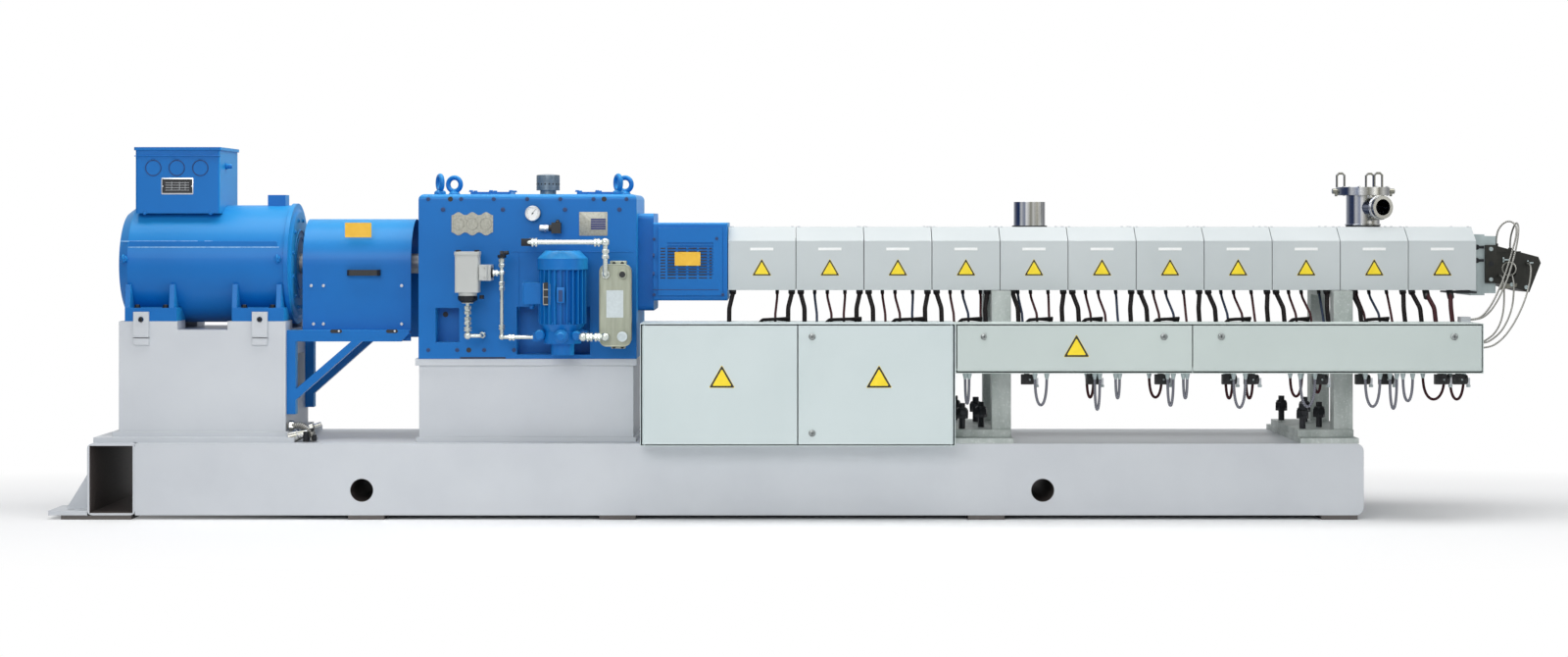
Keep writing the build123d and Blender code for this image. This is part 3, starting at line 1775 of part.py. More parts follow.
# Two cabinet doors with a rolled hinge edge
door_spans = (
    ("cabinet_door_left", left_hinge_x, door_split - door_gap / 2),
    ("cabinet_door_right", right_hinge_x, door_split + door_gap / 2),
)
for door_name, hinge_x, free_edge in door_spans:
    with BuildPart() as cabinet_door:
        with BuildSketch(Plane.XY.offset(door_low)):
            with Locations((hinge_x, hinge_line)):
                Circle(door_thickness / 2)
            with Locations(((hinge_x + free_edge) / 2, hinge_line)):
                Rectangle(abs(free_edge - hinge_x), door_thickness)
        extrude(amount=door_high - door_low)
        bore_depth = hinge_reach + lug_gap
        for start in (door_low, door_high - bore_depth):
            with BuildSketch(Plane.XY.offset(start)):
                with Locations((hinge_x, hinge_line)):
                    Circle(hinge_radius + pin_gap)
            extrude(amount=bore_depth, mode=Mode.SUBTRACT)
        if hinge_x > free_edge:
            with BuildSketch(Plane.XZ.offset(front_plane)):
                with Locations(
                    (free_edge + door_lock_inset, base_top + lock_drop),
                    (free_edge + door_lock_inset, cabinet_top - lock_drop),
                ):
                    RegularPolygon(lock_radius, rod_sides)
            extrude(amount=lock_height)
    cabinet_door.part.label = door_name
    export_step(cabinet_door.part, f"parts/{door_name}.step")

# Wiring trough on the front of the stands, open in front, with a lug between its two flaps
trough_back = column_inner + column_depth
trough_split = cabinet_right + trough_length * trough_split_share
flap_line = trough_bottom + wall_sheet + door_gap + door_thickness / 2
flap_top = cabinet_top - wall_sheet - door_gap
with BuildPart() as trough_body:
    block(cabinet_right, trough_right, door_front, -trough_back, trough_bottom, cabinet_top)
    block(
        cabinet_right + wall_sheet,
        trough_right - wall_sheet,
        door_front - overrun,
        -trough_back - wall_sheet,
        trough_bottom + wall_sheet,
        cabinet_top - wall_sheet,
        mode=Mode.SUBTRACT,
    )
    block(
        trough_split - wall_sheet / 2,
        trough_split + wall_sheet / 2,
        door_front,
        door_back,
        trough_bottom,
        flap_line + door_thickness / 2,
    )
    side_pin = door_gap + hinge_reach
    lug_pin = lug_gap + hinge_reach
    for start, length in (
        (cabinet_right + wall_sheet, side_pin),
        (trough_split - wall_sheet / 2 - lug_pin, 2 * lug_pin + wall_sheet),
        (trough_right - wall_sheet - side_pin, side_pin),
    ):
        with BuildSketch(Plane.YZ.offset(start)):
            with Locations((hinge_line, flap_line)):
                Circle(hinge_radius)
        extrude(amount=length)
trough_body.part.label = "trough_body"
export_step(trough_body.part, "parts/trough_body.step")

# Two trough flaps, hinged along their rolled lower edge
flap_spans = (
    (
        "trough_flap_left",
        cabinet_right + wall_sheet + door_gap,
        trough_split - wall_sheet / 2 - lug_gap,
    ),
    (
        "trough_flap_right",
        trough_split + wall_sheet / 2 + lug_gap,
        trough_right - wall_sheet - door_gap,
    ),
)
for flap_name, flap_left, flap_right in flap_spans:
    with BuildPart() as trough_flap:
        with BuildSketch(Plane.YZ.offset(flap_left)):
            with Locations((hinge_line, flap_line)):
                Circle(door_thickness / 2)
            with Locations((hinge_line, (flap_line + flap_top) / 2)):
                Rectangle(door_thickness, flap_top - flap_line)
        extrude(amount=flap_right - flap_left)
        bore_depth = hinge_reach + lug_gap
        for start in (flap_left, flap_right - bore_depth):
            with BuildSketch(Plane.YZ.offset(start)):
                with Locations((hinge_line, flap_line)):
                    Circle(hinge_radius + pin_gap)
            extrude(amount=bore_depth, mode=Mode.SUBTRACT)
        with BuildSketch(Plane.XZ.offset(front_plane)):
            with Locations(
                (flap_left + flap_lock_inset, cabinet_top - lock_drop),
                (flap_right - flap_lock_inset, cabinet_top - lock_drop),
            ):
                RegularPolygon(lock_radius, rod_sides)
        extrude(amount=lock_height)
    trough_flap.part.label = flap_name
    export_step(trough_flap.part, f"parts/{flap_name}.step")

# Thick braided hoses from both ends of each barrel down to the top of the cabinet or the trough
hose_stations = []
for number in range(cover_count):
    for joint, side in ((number, 1), (number + 1, -1)):
        over_stand = joint in stand_indexes
        inset = stand_width / 2 + zone_radius + sheet_gap if over_stand else zone_inset
        x = covers_start + joint * cover_pitch + side * inset
        beside_flange = over_stand or x > trough_right
        barrel_side = barrel_size / 2 if beside_flange else barrel_flange_size / 2
        hose_stations.append((min(x, trough_right - zone_end_inset), barrel_side))
hose_top = axis_height - zone_drop
with BuildPart() as zone_hoses:
    for x, barrel_side in hose_stations:
        route = (
            (x, -barrel_side, hose_top),
            (x, -barrel_side - zone_out, hose_top),
            (x, -zone_landing, cabinet_top + zone_rise),
            (x, -zone_landing, cabinet_top),
        )
        with BuildLine():
            Polyline(*eased_route(route, zone_bend))
        with BuildSketch(Plane(origin=route[0], z_dir=(0, -1, 0))):
            RegularPolygon(zone_radius, zone_sides)
        sweep(transition=Transition.RIGHT)
zone_hoses.part.label = "zone_hoses"
export_step(zone_hoses.part, "parts/zone_hoses.step")

# Cooling valves: coil with a round head, hung from the trough by a neck
valve_places = [cabinet_right + share * trough_length for share in valve_shares]
valve_top = trough_bottom - valve_neck_height
valve_bottom = valve_top - valve_height
head_line = (valve_top + valve_bottom) / 2
with BuildPart() as cooling_valves:
    for x in valve_places:
        block(
            x - valve_length / 2,
            x + valve_length / 2,
            -valve_depth - valve_width / 2,
            -valve_depth + valve_width / 2,
            valve_bottom,
            valve_top,
        )
        block(
            x - valve_neck_size / 2,
            x + valve_neck_size / 2,
            -valve_depth - valve_neck_size / 2,
            -valve_depth + valve_neck_size / 2,
            valve_top,
            trough_bottom,
        )
        with BuildSketch(Plane.YZ.offset(x + valve_length / 2)):
            with Locations((-valve_depth, head_line)):
                RegularPolygon(valve_head_radius, valve_head_sides)
        extrude(amount=valve_head_length)
cooling_valves.part.label = "cooling_valves"
export_step(cooling_valves.part, "parts/cooling_valves.step")

# Angle fittings on the valve heads
with BuildPart() as valve_fittings:
    for x in valve_places:
        left = x + valve_length / 2 + valve_head_length
        block(
            left,
            left + fitting_length,
            -valve_depth - fitting_length / 2,
            -valve_depth + fitting_length / 2,
            head_line + fitting_length / 2 - fitting_height,
            head_line + fitting_length / 2,
        )
valve_fittings.part.label = "valve_fittings"
export_step(valve_fittings.part, "parts/valve_fittings.step")

# Hose loops that hang under the trough, behind and in front of the valves
loop_sets = (
    ("valve_loops_red", red_loop_shares, valve_depth - red_loop_shift),
    ("valve_loops_grey", grey_loop_shares, valve_depth + grey_loop_shift),
)
for loop_name, loop_shares, loop_depth in loop_sets:
    with BuildPart() as valve_loops:
        for start_share, span_share, depth_share in loop_shares:
            left = cabinet_right + start_share * trough_length
            right = left + span_share * trough_length
            low = trough_bottom - depth_share * trough_height
            route = (
                (left, -loop_depth, trough_bottom),
                (left, -loop_depth, low),
                (right, -loop_depth, low),
                (right, -loop_depth, trough_bottom),
            )
            with BuildLine():
                Polyline(*eased_route(route, loop_bend))
            with BuildSketch(Plane(origin=route[0], z_dir=(0, 0, -1))):
                RegularPolygon(loop_radius, loop_sides)
            sweep(transition=Transition.RIGHT)
    valve_loops.part.label = loop_name
    export_step(valve_loops.part, f"parts/{loop_name}.step")
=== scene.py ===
import math

import bmesh
import bpy
from mathutils import Matrix, Vector


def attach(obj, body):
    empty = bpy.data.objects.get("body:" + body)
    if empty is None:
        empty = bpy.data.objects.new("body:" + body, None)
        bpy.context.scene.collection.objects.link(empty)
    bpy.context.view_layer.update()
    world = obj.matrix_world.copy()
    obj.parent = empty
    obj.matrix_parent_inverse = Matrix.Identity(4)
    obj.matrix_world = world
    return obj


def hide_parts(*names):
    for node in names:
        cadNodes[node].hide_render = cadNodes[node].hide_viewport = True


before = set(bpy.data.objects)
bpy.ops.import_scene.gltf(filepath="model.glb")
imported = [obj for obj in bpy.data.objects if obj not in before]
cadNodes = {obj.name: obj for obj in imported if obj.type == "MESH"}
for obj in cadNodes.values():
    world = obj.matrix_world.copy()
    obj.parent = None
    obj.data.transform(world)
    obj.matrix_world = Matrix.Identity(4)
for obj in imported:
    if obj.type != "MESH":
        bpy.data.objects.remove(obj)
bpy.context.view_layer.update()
print("frame loaded with", len(cadNodes), "CAD nodes")

# camera: level view at right angles to the line, 12 m in front of the shaft
viewpoint = {
    "place": (0.724, -12.0, 1.298), "lens": 61.245, "sensor": 36.0, "shiftY": -110 / 1600, "farthest": 200,
}


def linkObject(holder):
    bpy.context.scene.collection.objects.link(holder)
    return holder


def addCamera(facts):
    camera = bpy.data.cameras.new("camera")
    camera.lens = facts["lens"]
    camera.sensor_width = facts["sensor"]
    camera.shift_y = facts["shiftY"]
    camera.clip_end = facts["farthest"]
    holder = linkObject(bpy.data.objects.new("camera", camera))
    holder.location = facts["place"]
    holder.rotation_euler = (math.pi / 2, 0, 0)
    bpy.context.scene.camera = holder


addCamera(viewpoint)

# directions, and the two sides of the line: the seen side and its repeat behind
along, toViewer, upward, downward = (1, 0, 0), (0, -1, 0), (0, 0, 1), (0, 0, -1)
flanks = (-1, 1)
shaftHeight = 1105
smoothBelow = 0.6  # radians between faces that still shade as one
hexTurn = 0.26  # radians, so that no hexagon lies square to the machine


# small tools for meshes, which are drawn in millimetres and scaled once at the end
def draw(name, material, steps, body="root", replaced=None):
    # one piece from its steps, each a mesh tool with its values
    shape, mesh = bmesh.new(), bpy.data.meshes.new(name)
    for tool, *values in steps:
        tool(shape, *values)
    bmesh.ops.recalc_face_normals(shape, faces=shape.faces)
    bmesh.ops.scale(shape, vec=(0.001, 0.001, 0.001), verts=shape.verts)
    shape.to_mesh(mesh)
    shape.free()
    for face in mesh.polygons:
        face.use_smooth = True
    mesh.set_sharp_from_angle(angle=smoothBelow)
    mesh.materials.append(material)
    piece = linkObject(bpy.data.objects.new(name, mesh))
    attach(piece, body)
    if replaced:
        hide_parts(replaced)
    return piece


def circle(count, start=0.0):
    # cosine and sine of even turns, from a start in degrees
    turns = [math.radians(start) + 2 * math.pi * step / count for step in range(count)]
    return [(math.cos(turn), math.sin(turn)) for turn in turns]


def lathe(shape, profile, origin, direction, sides, twist=0.0):
    # profile holds (radius, height) pairs from the foot to the tip, a radius of 0 closes the end
    upright = Vector(direction).to_track_quat("Z", "Y").to_matrix().to_4x4()
    place = Matrix.Translation(origin) @ upright
    rings = []
    for radius, height in profile:
        turns = circle(sides, math.degrees(twist)) if radius else [(0, 0)]
        rings.append([shape.verts.new(place @ Vector((radius * c, radius * s, height))) for c, s in turns])
    for low, high in zip(rings, rings[1:]):
        for step in range(sides):
            after = (step + 1) % sides
            corners = ((low, step), (low, after), (high, after), (high, step))
            unique = list(dict.fromkeys(ring[number % len(ring)] for ring, number in corners))
            if len(unique) > 2:
                shape.faces.new(unique)


def turned(shape, profile, origin, direction, sides=24):
    # a lathe piece with a flat foot and a flat tip
    lathe(shape, [(0, profile[0][1]), *profile, (0, profile[-1][1])], origin, direction, sides)


def disc(shape, radius, rise, origin, direction, sides=24):
    turned(shape, ((radius, 0), (radius, rise)), origin, direction, sides)


def ringBead(shape, origin, direction, radius, wire, sides, wireSides):
    # a round ring, such as a lifting eye or a weld bead
    profile = [(radius + wire * c, wire * s) for c, s in circle(wireSides)]
    lathe(shape, profile + profile[:1], origin, direction, sides)


def softened(shape, edges, width):
    bmesh.ops.bevel(shape, geom=edges, offset=width, segments=2, profile=0.7, affect="EDGES")


def slab(shape, corner, opposite, edge=0.0):
    # a box between two corners with its edges bevelled
    made = bmesh.ops.create_cube(shape, size=1.0)
    for vertex in made["verts"]:
        share = [c + 0.5 for c in vertex.co]
        vertex.co = [min(a, b) + abs(b - a) * s for a, b, s in zip(corner, opposite, share)]
    if edge:
        softened(shape, list({e for v in made["verts"] for e in v.link_edges}), edge)


def plate(shape, outline, front, thickness, edge=0.0):
    # a flat plate across Y: outline in X and Z, outer face at Y = front
    near = [shape.verts.new((x, front, z)) for x, z in outline]
    far = [shape.verts.new((x, front + thickness, z)) for x, z in outline]
    face = shape.faces.new(near)
    shape.faces.new(list(reversed(far)))
    for i in range(len(outline)):
        after = (i + 1) % len(outline)
        shape.faces.new([near[after], near[i], far[i], far[after]])
    if edge:
        softened(shape, list(face.edges), edge)


def roundedOutline(left, right, low, high, corner, steps=5):
    points = []
    for x, z, start in ((right, high, 0), (left, high, 1), (left, low, 2), (right, low, 3)):
        centreX = x - corner if x == right else x + corner
        centreZ = z - corner if z == high else z + corner
        for step in range(steps + 1):
            turn = (start + step / steps) * math.pi / 2
            points.append((centreX + corner * math.cos(turn), centreZ + corner * math.sin(turn)))
    return points


def label(shape, left, right, low, high, corner, front, thickness, edge=0.0):
    plate(shape, roundedOutline(left, right, low, high, corner), front, thickness, edge)


def capScrew(shape, place, direction, radius, rise):
    socket, floor = radius * 0.5, rise * 0.4
    profile = ((radius, 0), (radius, rise * 0.8), (radius * 0.86, rise), (socket, rise), (socket, floor))
    turned(shape, profile, place, direction, 20)


def hexHead(shape, place, direction, radius, rise):
    washer = rise * 0.2
    disc(shape, radius * 1.3, washer, place, direction)
    profile = [(radius, washer), (radius, rise * 0.85), (radius * 0.84, rise), (0, rise)]
    lathe(shape, profile, place, direction, 6, hexTurn)


def hexNut(shape, place, direction, radius, length):
    shares = ((0.6, 0), (0.86, 0), (1, 0.15), (1, 0.85), (0.86, 1), (0.6, 1))
    lathe(shape, [(radius * wide, length * high) for wide, high in shares], place, direction, 6, hexTurn)


def ball(shape, place, radius):
    made = bmesh.ops.create_icosphere(shape, subdivisions=3, radius=radius)
    bmesh.ops.translate(shape, vec=Vector(place), verts=made["verts"])


def bentRoute(corners, bend):
    # control points for straight runs with a tight bend at each corner
    places = [Vector(corner) for corner in corners]
    route = [places[0]]
    for before, corner, after in zip(places, places[1:], places[2:]):
        arriving, leaving = corner - before, after - corner
        reach = min(bend, 0.45 * arriving.length, 0.45 * leaving.length)
        route += [corner - arriving.normalized() * reach, corner, corner + leaving.normalized() * reach]
    return route + [places[-1]]


def smoothRoute(corners):
    # points along the smooth line that has the corners as its control points
    curve = bpy.data.curves.new("route", "CURVE")
    curve.dimensions = "3D"
    curve.resolution_u = 6
    line = curve.splines.new("NURBS")
    line.points.add(len(corners) - 1)
    for point, corner in zip(line.points, corners):
        point.co = (*corner, 1)
    line.order_u = 3
    line.use_endpoint_u = True
    holder = bpy.data.objects.new("route", curve)
    mesh = bpy.data.meshes.new_from_object(holder)
    points = [vertex.co.copy() for vertex in mesh.vertices]
    bpy.data.objects.remove(holder)
    bpy.data.curves.remove(curve)
    bpy.data.meshes.remove(mesh)
    return points


def tube(shape, points, radius, sides):
    # a round tube along the points; its UV runs along the length in metres and once round
    wrap = shape.loops.layers.uv.verify()
    points = [Vector(point) for point in points]
    last = len(points) - 1
    tangents = [(points[min(i + 1, last)] - points[max(i - 1, 0)]).normalized() for i in range(last + 1)]
    side = tangents[0].orthogonal().normalized()
    rings, lengths = [], [0.0]
    for i, (point, tangent) in enumerate(zip(points, tangents)):
        side = (side - tangent * side.dot(tangent)).normalized()
        up = tangent.cross(side)
        rings.append([shape.verts.new(point + radius * (c * side + s * up)) for c, s in circle(sides)])
        if i:
            lengths.append(lengths[-1] + (point - points[i - 1]).length / 1000)
    for i in range(last):
        for step in range(sides):
            after = (step + 1) % sides
            face = shape.faces.new([rings[i][step], rings[i][after], rings[i + 1][after], rings[i + 1][step]])
            for loop, (end, turn) in zip(face.loops, ((0, 0), (0, 1), (1, 1), (1, 0))):
                loop[wrap].uv = (lengths[i + end], (step + turn) / sides)
    shape.faces.new(list(reversed(rings[0])))
    shape.faces.new(rings[-1])


def pipe(shape, corners, bend, radius, sides):
    tube(shape, smoothRoute(bentRoute(corners, bend)), radius, sides)


# small tools for materials
def linear(hexText):
    channels = [int(hexText[i : i + 2], 16) / 255 for i in (1, 3, 5)]
    return tuple(c / 12.92 if c <= 0.04045 else ((c + 0.055) / 1.055) ** 2.4 for c in channels) + (1,)


def addNode(tree, kind, inputs=None, **settings):
    # one node with its settings; an input is a value or the socket that feeds it
    node = tree.nodes.new("ShaderNode" + kind)
    for name, value in settings.items():
        setattr(node, name, value)
    for socket, value in (inputs or {}).items():
        if isinstance(value, bpy.types.NodeSocket):
            tree.links.new(value, node.inputs[socket])
        else:
            node.inputs[socket].default_value = value
    return node


def newMaterial(name, **constants):
    material = bpy.data.materials.new(name)
    material.use_nodes = True
    shader = material.node_tree.nodes["Principled BSDF"]
    for words, value in constants.items():
        shader.inputs[words.replace("_", " ")].default_value = value
    return material, material.node_tree, shader


def feed(tree, shader, **sockets):
    for words, socket in sockets.items():
        tree.links.new(socket, shader.inputs[words.replace("_", " ")])


def bodyPlace(tree):
    return addNode(tree, "TexCoord").outputs["Object"]


def perMetre(sizeMm):
    return 1000.0 / sizeMm


def noise(tree, place, sizeMm, detail):
    values = {"Vector": place, "Scale": perMetre(sizeMm), "Detail": detail}
    return addNode(tree, "TexNoise", values).outputs["Fac"]


def mapped(tree, value, low=0.0, high=1.0, start=0.0, end=1.0):
    limits = {"Value": value, "From Min": low, "From Max": high, "To Min": start, "To Max": end}
    return addNode(tree, "MapRange", limits).outputs["Result"]


def combined(tree, operation, first, second):
    return addNode(tree, "Math", {0: first, 1: second}, operation=operation).outputs[0]


def blended(tree, share, first, second):
    return addNode(tree, "Mix", {0: share, 6: first, 7: second}, data_type="RGBA").outputs[2]


def mixTones(tree, place, light, dark, patchMm, contrast=0.5, detail=4.0):
    # slow drift between two tones of one finish
    patches = mapped(tree, noise(tree, place, patchMm, detail), 0.5 - contrast / 2, 0.5 + contrast / 2)
    return blended(tree, patches, linear(light), linear(dark))


def relief(tree, height, depthMm, strength, edgeMm):
    # fine relief of the finish on corners that are rounded by edgeMm
    softEdge = addNode(tree, "Bevel", {"Radius": edgeMm / 1000}, samples=4).outputs["Normal"]
    values = {"Height": height, "Distance": depthMm / 1000, "Strength": strength, "Normal": softEdge}
    return addNode(tree, "Bump", values).outputs["Normal"]


def grain(tree, place, grainMm, depthMm, edgeMm, detail=2.0):
    return relief(tree, noise(tree, place, grainMm, detail), depthMm, 0.6, edgeMm)


def facing(tree, axis, low, high):
    # how far the surface turns towards the axis, as a soft 0..1 value; bound to the piece
    normal = addNode(tree, "TexCoord").outputs["Normal"]
    return mapped(tree, addNode(tree, "SeparateXYZ", {0: normal}).outputs[axis], low, high)


def paintedSteel(name, light, dark, roughness, coat, grainMm, depthMm, edgeMm=3.0):
    material, tree, shader = newMaterial(name, Roughness=roughness, Coat_Weight=coat, Coat_Roughness=0.12)
    place = bodyPlace(tree)
    tones = mixTones(tree, place, light, dark, 420, 0.45)
    feed(tree, shader, Base_Color=tones, Normal=grain(tree, place, grainMm, depthMm, edgeMm))
    return material


def evenFinish(name, light, dark, patchMm, **constants):
    # one even tone with a faint drift
    material, tree, shader = newMaterial(name, **constants)
    feed(tree, shader, Base_Color=mixTones(tree, bodyPlace(tree), light, dark, patchMm))
    return material


def blueEnamel(gloss=0.28, endFaceGloss=0.08):
    # sprayed machine enamel: deep blue with a faint orange peel; tops and end faces carry painted light, a
    # paler cyan for the light from above and the side, and end faces are duller
    material, tree, shader = newMaterial("blueEnamel", Roughness=0.4, Coat_Weight=0.04, Coat_Roughness=0.12)
    place = bodyPlace(tree)
    enamel = mixTones(tree, place, "#0870BF", "#0467B3", 420, 0.45)
    endFace = facing(tree, "X", 0.6, 1.0)
    # painted light: faces turned upward or to the end blend towards a paler cyan
    paintedLight = combined(tree, "MAXIMUM", facing(tree, "Z", 0.1, 1.0), endFace)
    feed(tree, shader, Specular_IOR_Level=mapped(tree, endFace, start=gloss, end=endFaceGloss))
    feed(tree, shader, Base_Color=blended(tree, paintedLight, enamel, linear("#2B9BDC")))
    feed(tree, shader, Normal=grain(tree, place, 9, 0.25, 3.0))
    return material


def brushedMetal(name, light, dark, roughness, metallic, stretch, streakMm, edgeMm=1.5, depthMm=0.08):
    # streaks of the tool or the rolling run along the axis that stretch leaves small
    material, tree, shader = newMaterial(name, Metallic=metallic)
    drawn = addNode(tree, "Mapping", {"Vector": bodyPlace(tree), "Scale": stretch}).outputs["Vector"]
    streaks = noise(tree, drawn, streakMm / 3, 3.0)
    feed(
        tree,
        shader,
        Base_Color=mixTones(tree, drawn, light, dark, streakMm, 0.5),
        Roughness=mapped(tree, streaks, start=roughness - 0.08, end=roughness + 0.1),
        Normal=relief(tree, streaks, depthMm, 0.5, edgeMm),
    )
    return material


def polishedStainless():
    # turned and polished stainless pipe: bright, with painted reflections in its colour, dark and light
    # upright bands set by the way the surface faces, such as the pipe mirrors
    material, tree, shader = newMaterial("polishedStainless", Metallic=1.0, Roughness=0.2)
    paintedReflections = addNode(tree, "ValToRGB", {0: facing(tree, "X", -1.0, 1.0)})
    # painted reflections: tones of the bands, from faces turned towards -X to faces turned towards +X
    stops = (
        (0.0, "#8D93A0"), (0.06, "#39425C"), (0.14, "#39425C"), (0.2, "#C9CBCF"),
        (0.3, "#7C8498"), (0.36, "#D9DADB"), (0.5, "#8E8D82"), (0.58, "#D5D5D1"),
        (0.7, "#77756B"), (0.8, "#CFCFCB"), (0.92, "#6E7076"), (1.0, "#C4C5C6"),
    )
    ramp = paintedReflections.color_ramp
    for number, (share, tone) in enumerate(stops):
        stop = ramp.elements[number] if number < 2 else ramp.elements.new(share)
        stop.position, stop.color = share, linear(tone)
    feed(tree, shader, Base_Color=paintedReflections.outputs["Color"])
    feed(tree, shader, Normal=grain(tree, bodyPlace(tree), 3, 0.05, 1.0, 3.0))
    return material


def weatheredSteel():
    # bare stand columns that have dulled in the shop: green grey with blotches and runs
    material, tree, shader = newMaterial("weatheredSteel", Metallic=0.35, Roughness=0.55)
    place = bodyPlace(tree)
    runs = addNode(tree, "Mapping", {"Vector": place, "Scale": (1.0, 1.0, 0.3)}).outputs["Vector"]
    blotches = mixTones(tree, runs, "#C3C9C6", "#98A09C", 70, 0.5, 6.0)
    specks = mapped(tree, noise(tree, place, 9, 5.0), 0.55, 0.75, end=0.6)
    marked = blended(tree, specks, blotches, linear("#D5DAD8"))
    feed(tree, shader, Base_Color=marked, Normal=grain(tree, place, 6, 0.3, 2.5, 4.0))
    return material


def blackenedSteel():
    # die block darkened by heat and oil: brown black, dull, with lighter handling marks
    material, tree, shader = newMaterial("blackenedSteel", Metallic=0.3, Roughness=0.58)
    place = bodyPlace(tree)
    tones = mixTones(tree, place, "#282822", "#181914", 40, 0.5, 6.0)
    feed(tree, shader, Base_Color=tones, Normal=grain(tree, place, 3, 0.15, 2.0, 4.0))
    return material


def braid(name, light, dark, metallic, roughness, strandMm, turns):
    # crossing wires of a woven sleeve, matt; the wires are under a millimetre, drawn coarser to show
    constants = {"Metallic": metallic, "Roughness": roughness, "Specular_IOR_Level": 0.12}
    material, tree, shader = newMaterial(name, **constants)
    wrap = addNode(tree, "SeparateXYZ", {0: addNode(tree, "TexCoord").outputs["UV"]})
    lengthwise = combined(tree, "MULTIPLY", wrap.outputs["X"], perMetre(strandMm))
    around = combined(tree, "MULTIPLY", wrap.outputs["Y"], float(turns))
    diagonals = [combined(tree, crossing, lengthwise, around) for crossing in ("ADD", "SUBTRACT")]
    height = combined(tree, "MULTIPLY", *[combined(tree, "PINGPONG", line, 1.0) for line in diagonals])
    bumps = addNode(tree, "Bump", {"Height": height, "Distance": 0.0006, "Strength": 0.8})
    feed(tree, shader, Normal=bumps.outputs["Normal"])
    feed(tree, shader, Base_Color=blended(tree, height, linear(dark), linear(light)))
    return material


# paints
blue = blueEnamel()
# brushed-on grey enamel of the welded base: satin, slightly uneven
grey = paintedSteel("greyEnamel", "#CFD3D7", "#C5C9CE", 0.48, 0.1, 14, 0.3, 4.0)
# baked powder coat of the sheet cabinet: pale grey green with a fine stipple, drawn at 4 mm
cabinetPaint = paintedSteel("cabinetPowder", "#CFDADA", "#C8D4D4", 0.5, 0.0, 4, 0.12, 1.5)
# the trough's coat is the same, a little darker and greener
troughPaint = paintedSteel("troughPowder", "#C7D2CE", "#C0CBC8", 0.5, 0.0, 4, 0.12, 1.5)
# baked powder coat of the barrel covers: neutral pale grey, satin
coverPaint = paintedSteel("coverPowder", "#C9CFD0", "#C0C7C8", 0.42, 0.05, 4, 0.1, 2.0)
# levelling strips under the base: dark grey brown, dusty
soles = paintedSteel("soleIron", "#625E5B", "#524E4C", 0.7, 0.0, 8, 0.4)

# metals
polished = polishedStainless()
# milled carbon steel: mid grey, satin
machined = brushedMetal("machinedSteel", "#A9ABAC", "#97999A", 0.38, 0.9, (0.15, 1.0, 1.0), 8)
# barrels after nitriding: dull dark grey
nitrided = brushedMetal("nitridedSteel", "#737679", "#5F6265", 0.5, 0.8, (0.2, 1.0, 1.0), 20)
# zinc-plated adapter plates: pale green grey, satin
zinc = brushedMetal("zincSteel", "#B4C1C1", "#A5B2B3", 0.45, 0.35, (1.0, 1.0, 0.2), 30)
weathered = weatheredSteel()
blackened = blackenedSteel()
# sand-cast light alloy: pale grey with a grit of about 1.5 mm, drawn at 3 mm
alloy = paintedSteel("castAlloy", "#C9CBC8", "#B7BAB7", 0.55, 0.0, 3, 0.25)
# cover plate of the plate pack: rolled stainless, warm grey, satin
pressed = brushedMetal("pressedStainless", "#A9AD9D", "#959A8A", 0.36, 0.7, (1.0, 1.0, 0.15), 14, 3.0)
# blackened cap screws: dark, slightly blue, oily sheen
darkScrew = evenFinish("blackOxide", "#2A2C30", "#1B1D20", 5, Metallic=0.6, Roughness=0.4)
# zinc-plated screws and nuts: bright bluish silver
brightScrew = evenFinish("brightZinc", "#D5D8DB", "#B9BEC3", 4, Metallic=0.95, Roughness=0.3)
# pressed zinc-plated label plate: dull beige silver with faint mottling
stampedZinc = brushedMetal("stampedPlate", "#ACABA0", "#8C8D84", 0.42, 0.55, (1.0, 1.0, 1.0), 9, 0.6)
# galvanised pipe and fittings: pale green silver, satin
zincPipe = brushedMetal("galvanisedPipe", "#D3D9D3", "#C2C9C3", 0.24, 0.8, (1.0, 1.0, 0.4), 40, 1.0, 0.02)
# breather cap: zinc darkened by oil mist, blue grey
breatherMetal = brushedMetal("oiledZinc", "#7F8B94", "#5E6A73", 0.4, 0.7, (1.0, 1.0, 0.3), 16, 1.0)
# lock barrels: worn chrome, grey silver
lockChrome = brushedMetal("lockChrome", "#9EA3A2", "#6A6F6E", 0.28, 0.9, (1.0, 1.0, 1.0), 14, 0.8)

# plastics, vinyl and printed fields, all left without words
# moulded glass-filled nylon: near black with a fine spark texture
plastic = paintedSteel("blackPlastic", "#1B1C1E", "#141517", 0.5, 0.0, 2, 0.1, 1.0)
# self-adhesive vinyl, left plain: flat, even, slightly glossy
yellow = evenFinish("yellowVinyl", "#FFE433", "#F5D821", 30, Roughness=0.35)
amber = evenFinish("amberVinyl", "#F5C23C", "#ECB62E", 30, Roughness=0.35)
# printed or moulded fields: one even tone, the dial and the pale label with a slight gloss
inkBlack = evenFinish("inkBlack", "#121316", "#1C1D20", 12, Roughness=0.55)
inkBlue = evenFinish("inkBlue", "#232C66", "#2B3472", 12, Roughness=0.4)
dialWhite = evenFinish("dialWhite", "#FAFBFA", "#F2F3F2", 12, Roughness=0.3)
paleLabel = evenFinish("paleLabel", "#D2DCDE", "#C6D0D2", 12, Roughness=0.4)
# painted shade: darker blue for enamel in grooves and holes and for screws in shade; painted highlight: pale
# blue along a bead that catches the light
shadeBlue = evenFinish("shadeBlue", "#123F78", "#0F3668", 12, Roughness=0.45)
seamHighlight = evenFinish("seamHighlight", "#A6D2F2", "#4F9BDB", 12, Roughness=0.3)
# painted shade: dark red-brown standing for the shade inside hollow sections
hollowShade = evenFinish("paintedHollowShade", "#4C4441", "#3B3432", 12, Roughness=0.7)

# woven sleeves: stainless overbraid of the die leads, silvery grey mesh
leadBraid = braid("steelBraid", "#C9C9C4", "#6E6D68", 0.7, 0.4, 5, 4)
